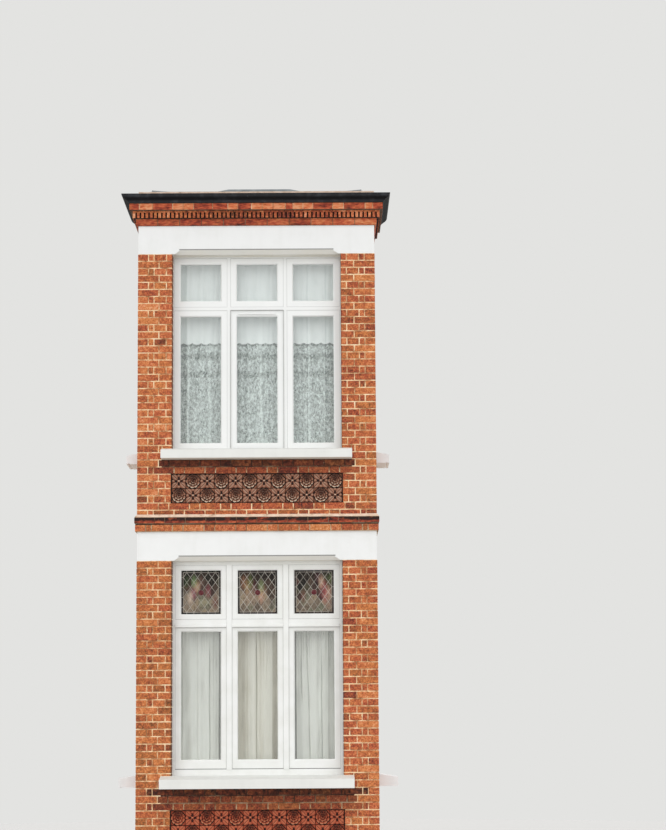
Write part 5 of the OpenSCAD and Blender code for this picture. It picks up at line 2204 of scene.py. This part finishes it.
def dress_nodes(bay: Bay) -> None:
    """Gives the CAD nodes that stay the finishes of the real pieces, all but the tile panels.

    Args:
        bay: lines of the bay.
    """
    storeys = ("ground", "first")
    walls = ("front_apron", "side_aprons", "corner_piers", "rear_jambs")
    mortars = (
        ("lime_mortar", 0.0, [f"{storey}_{wall}" for storey in storeys for wall in walls]),
        ("sooty_mortar", 0.85, ["cornice_moulding", "eaves_course"]),
        ("grey_mortar", 0.2, ["cornice_cap"]),
        ("stained_mortar", 0.5, ["string_course"]),
    )
    for name, grime, nodes in mortars:
        dress(LimeMortar(name, 0.95, bay, grime).build(), *nodes)
    dress(DentilBrick("dentil_brick", 0.9, bay).build(), "dentil_course")
    # One masonry paint in three copies: the front sills' is darker, as painted shade against the light their
    # tops catch, and the side sills' paler and cooler, as painted light for their shaded ends
    paints = (
        ("lintel", ("front_lintel", "side_lintels"), ("#ebecea", "#f0f1f0", "#f2f3f2")),
        ("front_sill", ("front_sill",), ("#e2e3df", "#e7e8e4", "#eaebe7")),
        ("side_sill", ("side_sills",), ("#eceff0", "#f1f4f5", "#f4f7f8")),
    )
    for name, places, tones in paints:
        paint = MasonryPaint(f"{name}_masonry_paint", 0.6, bay, tones).build()
        dress(paint, *(f"{storey}_{place}" for storey in storeys for place in places))
    sashes = ("window_frames", "casements", "top_lights")
    gloss = WhitePaint("white_gloss_paint", 0.35).build()
    dress(gloss, *(f"ground_{sash}" for sash in sashes), "window_boards")
    # Window plastic is extruded: even and smooth, with the faintest waves and a slight gloss
    plastic = SmoothCoat("white_window_plastic", 0.28, ("#eef0ee", "#f5f6f5"), (250, 3), (60, 2), (0.4, 0.2))
    dress(plastic.build(), *(f"first_{sash}" for sash in sashes))
    # Skimmed plaster with emulsion: warm white and barely clouded, with faint trowel marks
    plaster = SmoothCoat("skimmed_plaster", 0.8, ("#dfd9ca", "#ece7da"), (200, 3), (40, 2), (0.5, 0.3))
    dress(plaster.build(), "ceilings")
    # White stove enamel on steel tube: hard and glossy, with a faint orange peel
    enamel = SmoothCoat("white_enamel", 0.25, ("#dcdad4", "#e8e6e0"), (50, 2), (4, 2), (0.1, 0.3))
    dress(enamel.build(), "curtain_rods")
    dress(FloatGlass("clear_float_glass", 0.0).build(), "ground_glass", "first_glass")
    dress(Softwood("redwood_boards", 0.6).build(), "ground_floor", "first_floor", "roof_timbers")
    dress(WeatheredCement("weathered_cement", 0.95).build(), "cement_weatherings")
    dress(BlackPaint("black_gutter_paint", 0.6, "#323336", "#45474b").build(), "gutter_front", "gutter_sides")
    dress(BlackPaint("black_board_paint", 0.6, "#1a1a1b", "#2f2e2c").build(), "gutter_boards")
    dress(SheetLead("milled_sheet_lead", 0.6, "#80868a", "#969c9f").build(), "lead_roof")


def main() -> None:
    """Dresses the whole bay, one sub-assembly after another."""
    logging.basicConfig(level=logging.INFO, format="%(name)s: %(message)s")
    bay = Bay()
    LOG.info("%s", bay)
    Studio().make()
    dress_nodes(bay)
    brick = FiredBrick("fired_facing_brick", 0.9, bay).build()
    # The moulded bricks are of a redder clay, with its marks drawn out along each brick
    clay = (
        (0.0, "#43170e"), (0.2, "#7d3020"), (0.45, "#b04a2e"),
        (0.65, "#cd6540"), (0.85, "#de7b4e"), (1.0, "#e89468"),
    )
    sooty_brick = FiredBrick(
        "sooty_facing_brick", 0.9, bay, red=clay, smeared=0.15, drawn=(0.3, 0.3, 1)
    ).build()
    stained_brick = StainedBrick(
        "stained_facing_brick", 0.9, bay, red=clay, smeared=0.3, drawn=(0.4, 0.4, 1), ledge_z=bay.apron_z
    ).build()
    # The terracotta ramps run from painted shade in the hollows to painted highlight on the crests; after
    # each comes the colour and share of the painted highlight, with dust, on ledges that face up
    dull = ((0.0, "#1f0b05"), (0.12, "#462317"), (0.35, "#89563f"), (0.7, "#9b6851"), (1.0, "#b48870"))
    red = ((0.0, "#2a0a04"), (0.12, "#601e0f"), (0.35, "#a2462b"), (0.7, "#b75b3c"), (1.0, "#ca7d5c"))
    upper = PressedTerracotta("sooty_terracotta", 0.85, dull, "#e6d8c0", 0.85).build()
    lower = PressedTerracotta("red_terracotta", 0.85, red, "#c99672", 0.6).build()
    dress(upper, "first_tile_panel")
    dress(lower, "ground_tile_panel")
    Brickwork(bay).make(brick)
    MouldedCourses(bay).make(sooty_brick, stained_brick)
    TilePanels().make({"first_tile_panel": upper, "ground_tile_panel": lower})
    # The cames' pale grey is the lead's bloom, lightened further as a painted reflection
    cames = SheetLead("lead_came", 0.5, "#9c968d", "#c6c1b7").build()
    LeadedLights().make(CathedralGlass("cathedral_glass", 0.14).build(), cames)
    # Pale rubber seals, and the dark and grey strips that are painted shadow lines
    rubbers = (("pale", "#949590", 0.4), ("dark", "#26241f", 0.1), ("grey", "#64625c", 0.2))
    SealsAndShadowLines().make({tone: RubberSealAndShadowLine(f"{tone}_rubber", 0.7, *look).build() for tone, *look in rubbers})
    # The voiles' ramps run from plain cloth to painted shade in the folds
    cool = ((0.0, "#d8dbd5"), (0.5, "#ced1ca"), (0.75, "#acaea6"), (1.0, "#696b64"))
    warm = ((0.0, "#d7d7cc"), (0.5, "#cbcabe"), (0.75, "#b2ae9d"), (1.0, "#757160"))
    voiles = (("cool_voile", cool), ("warm_voile", warm), ("grey_voile", cool))
    # The net's scalloped line runs 1.19 m above the sill
    net = LaceNet("lace_net", 0.9, line_z=bay.first_open_z + 1.19).build()
    Hangings([CottonVoile(name, 0.9, tones).build() for name, tones in voiles], net).make()


if __name__ == "__main__":
    main()
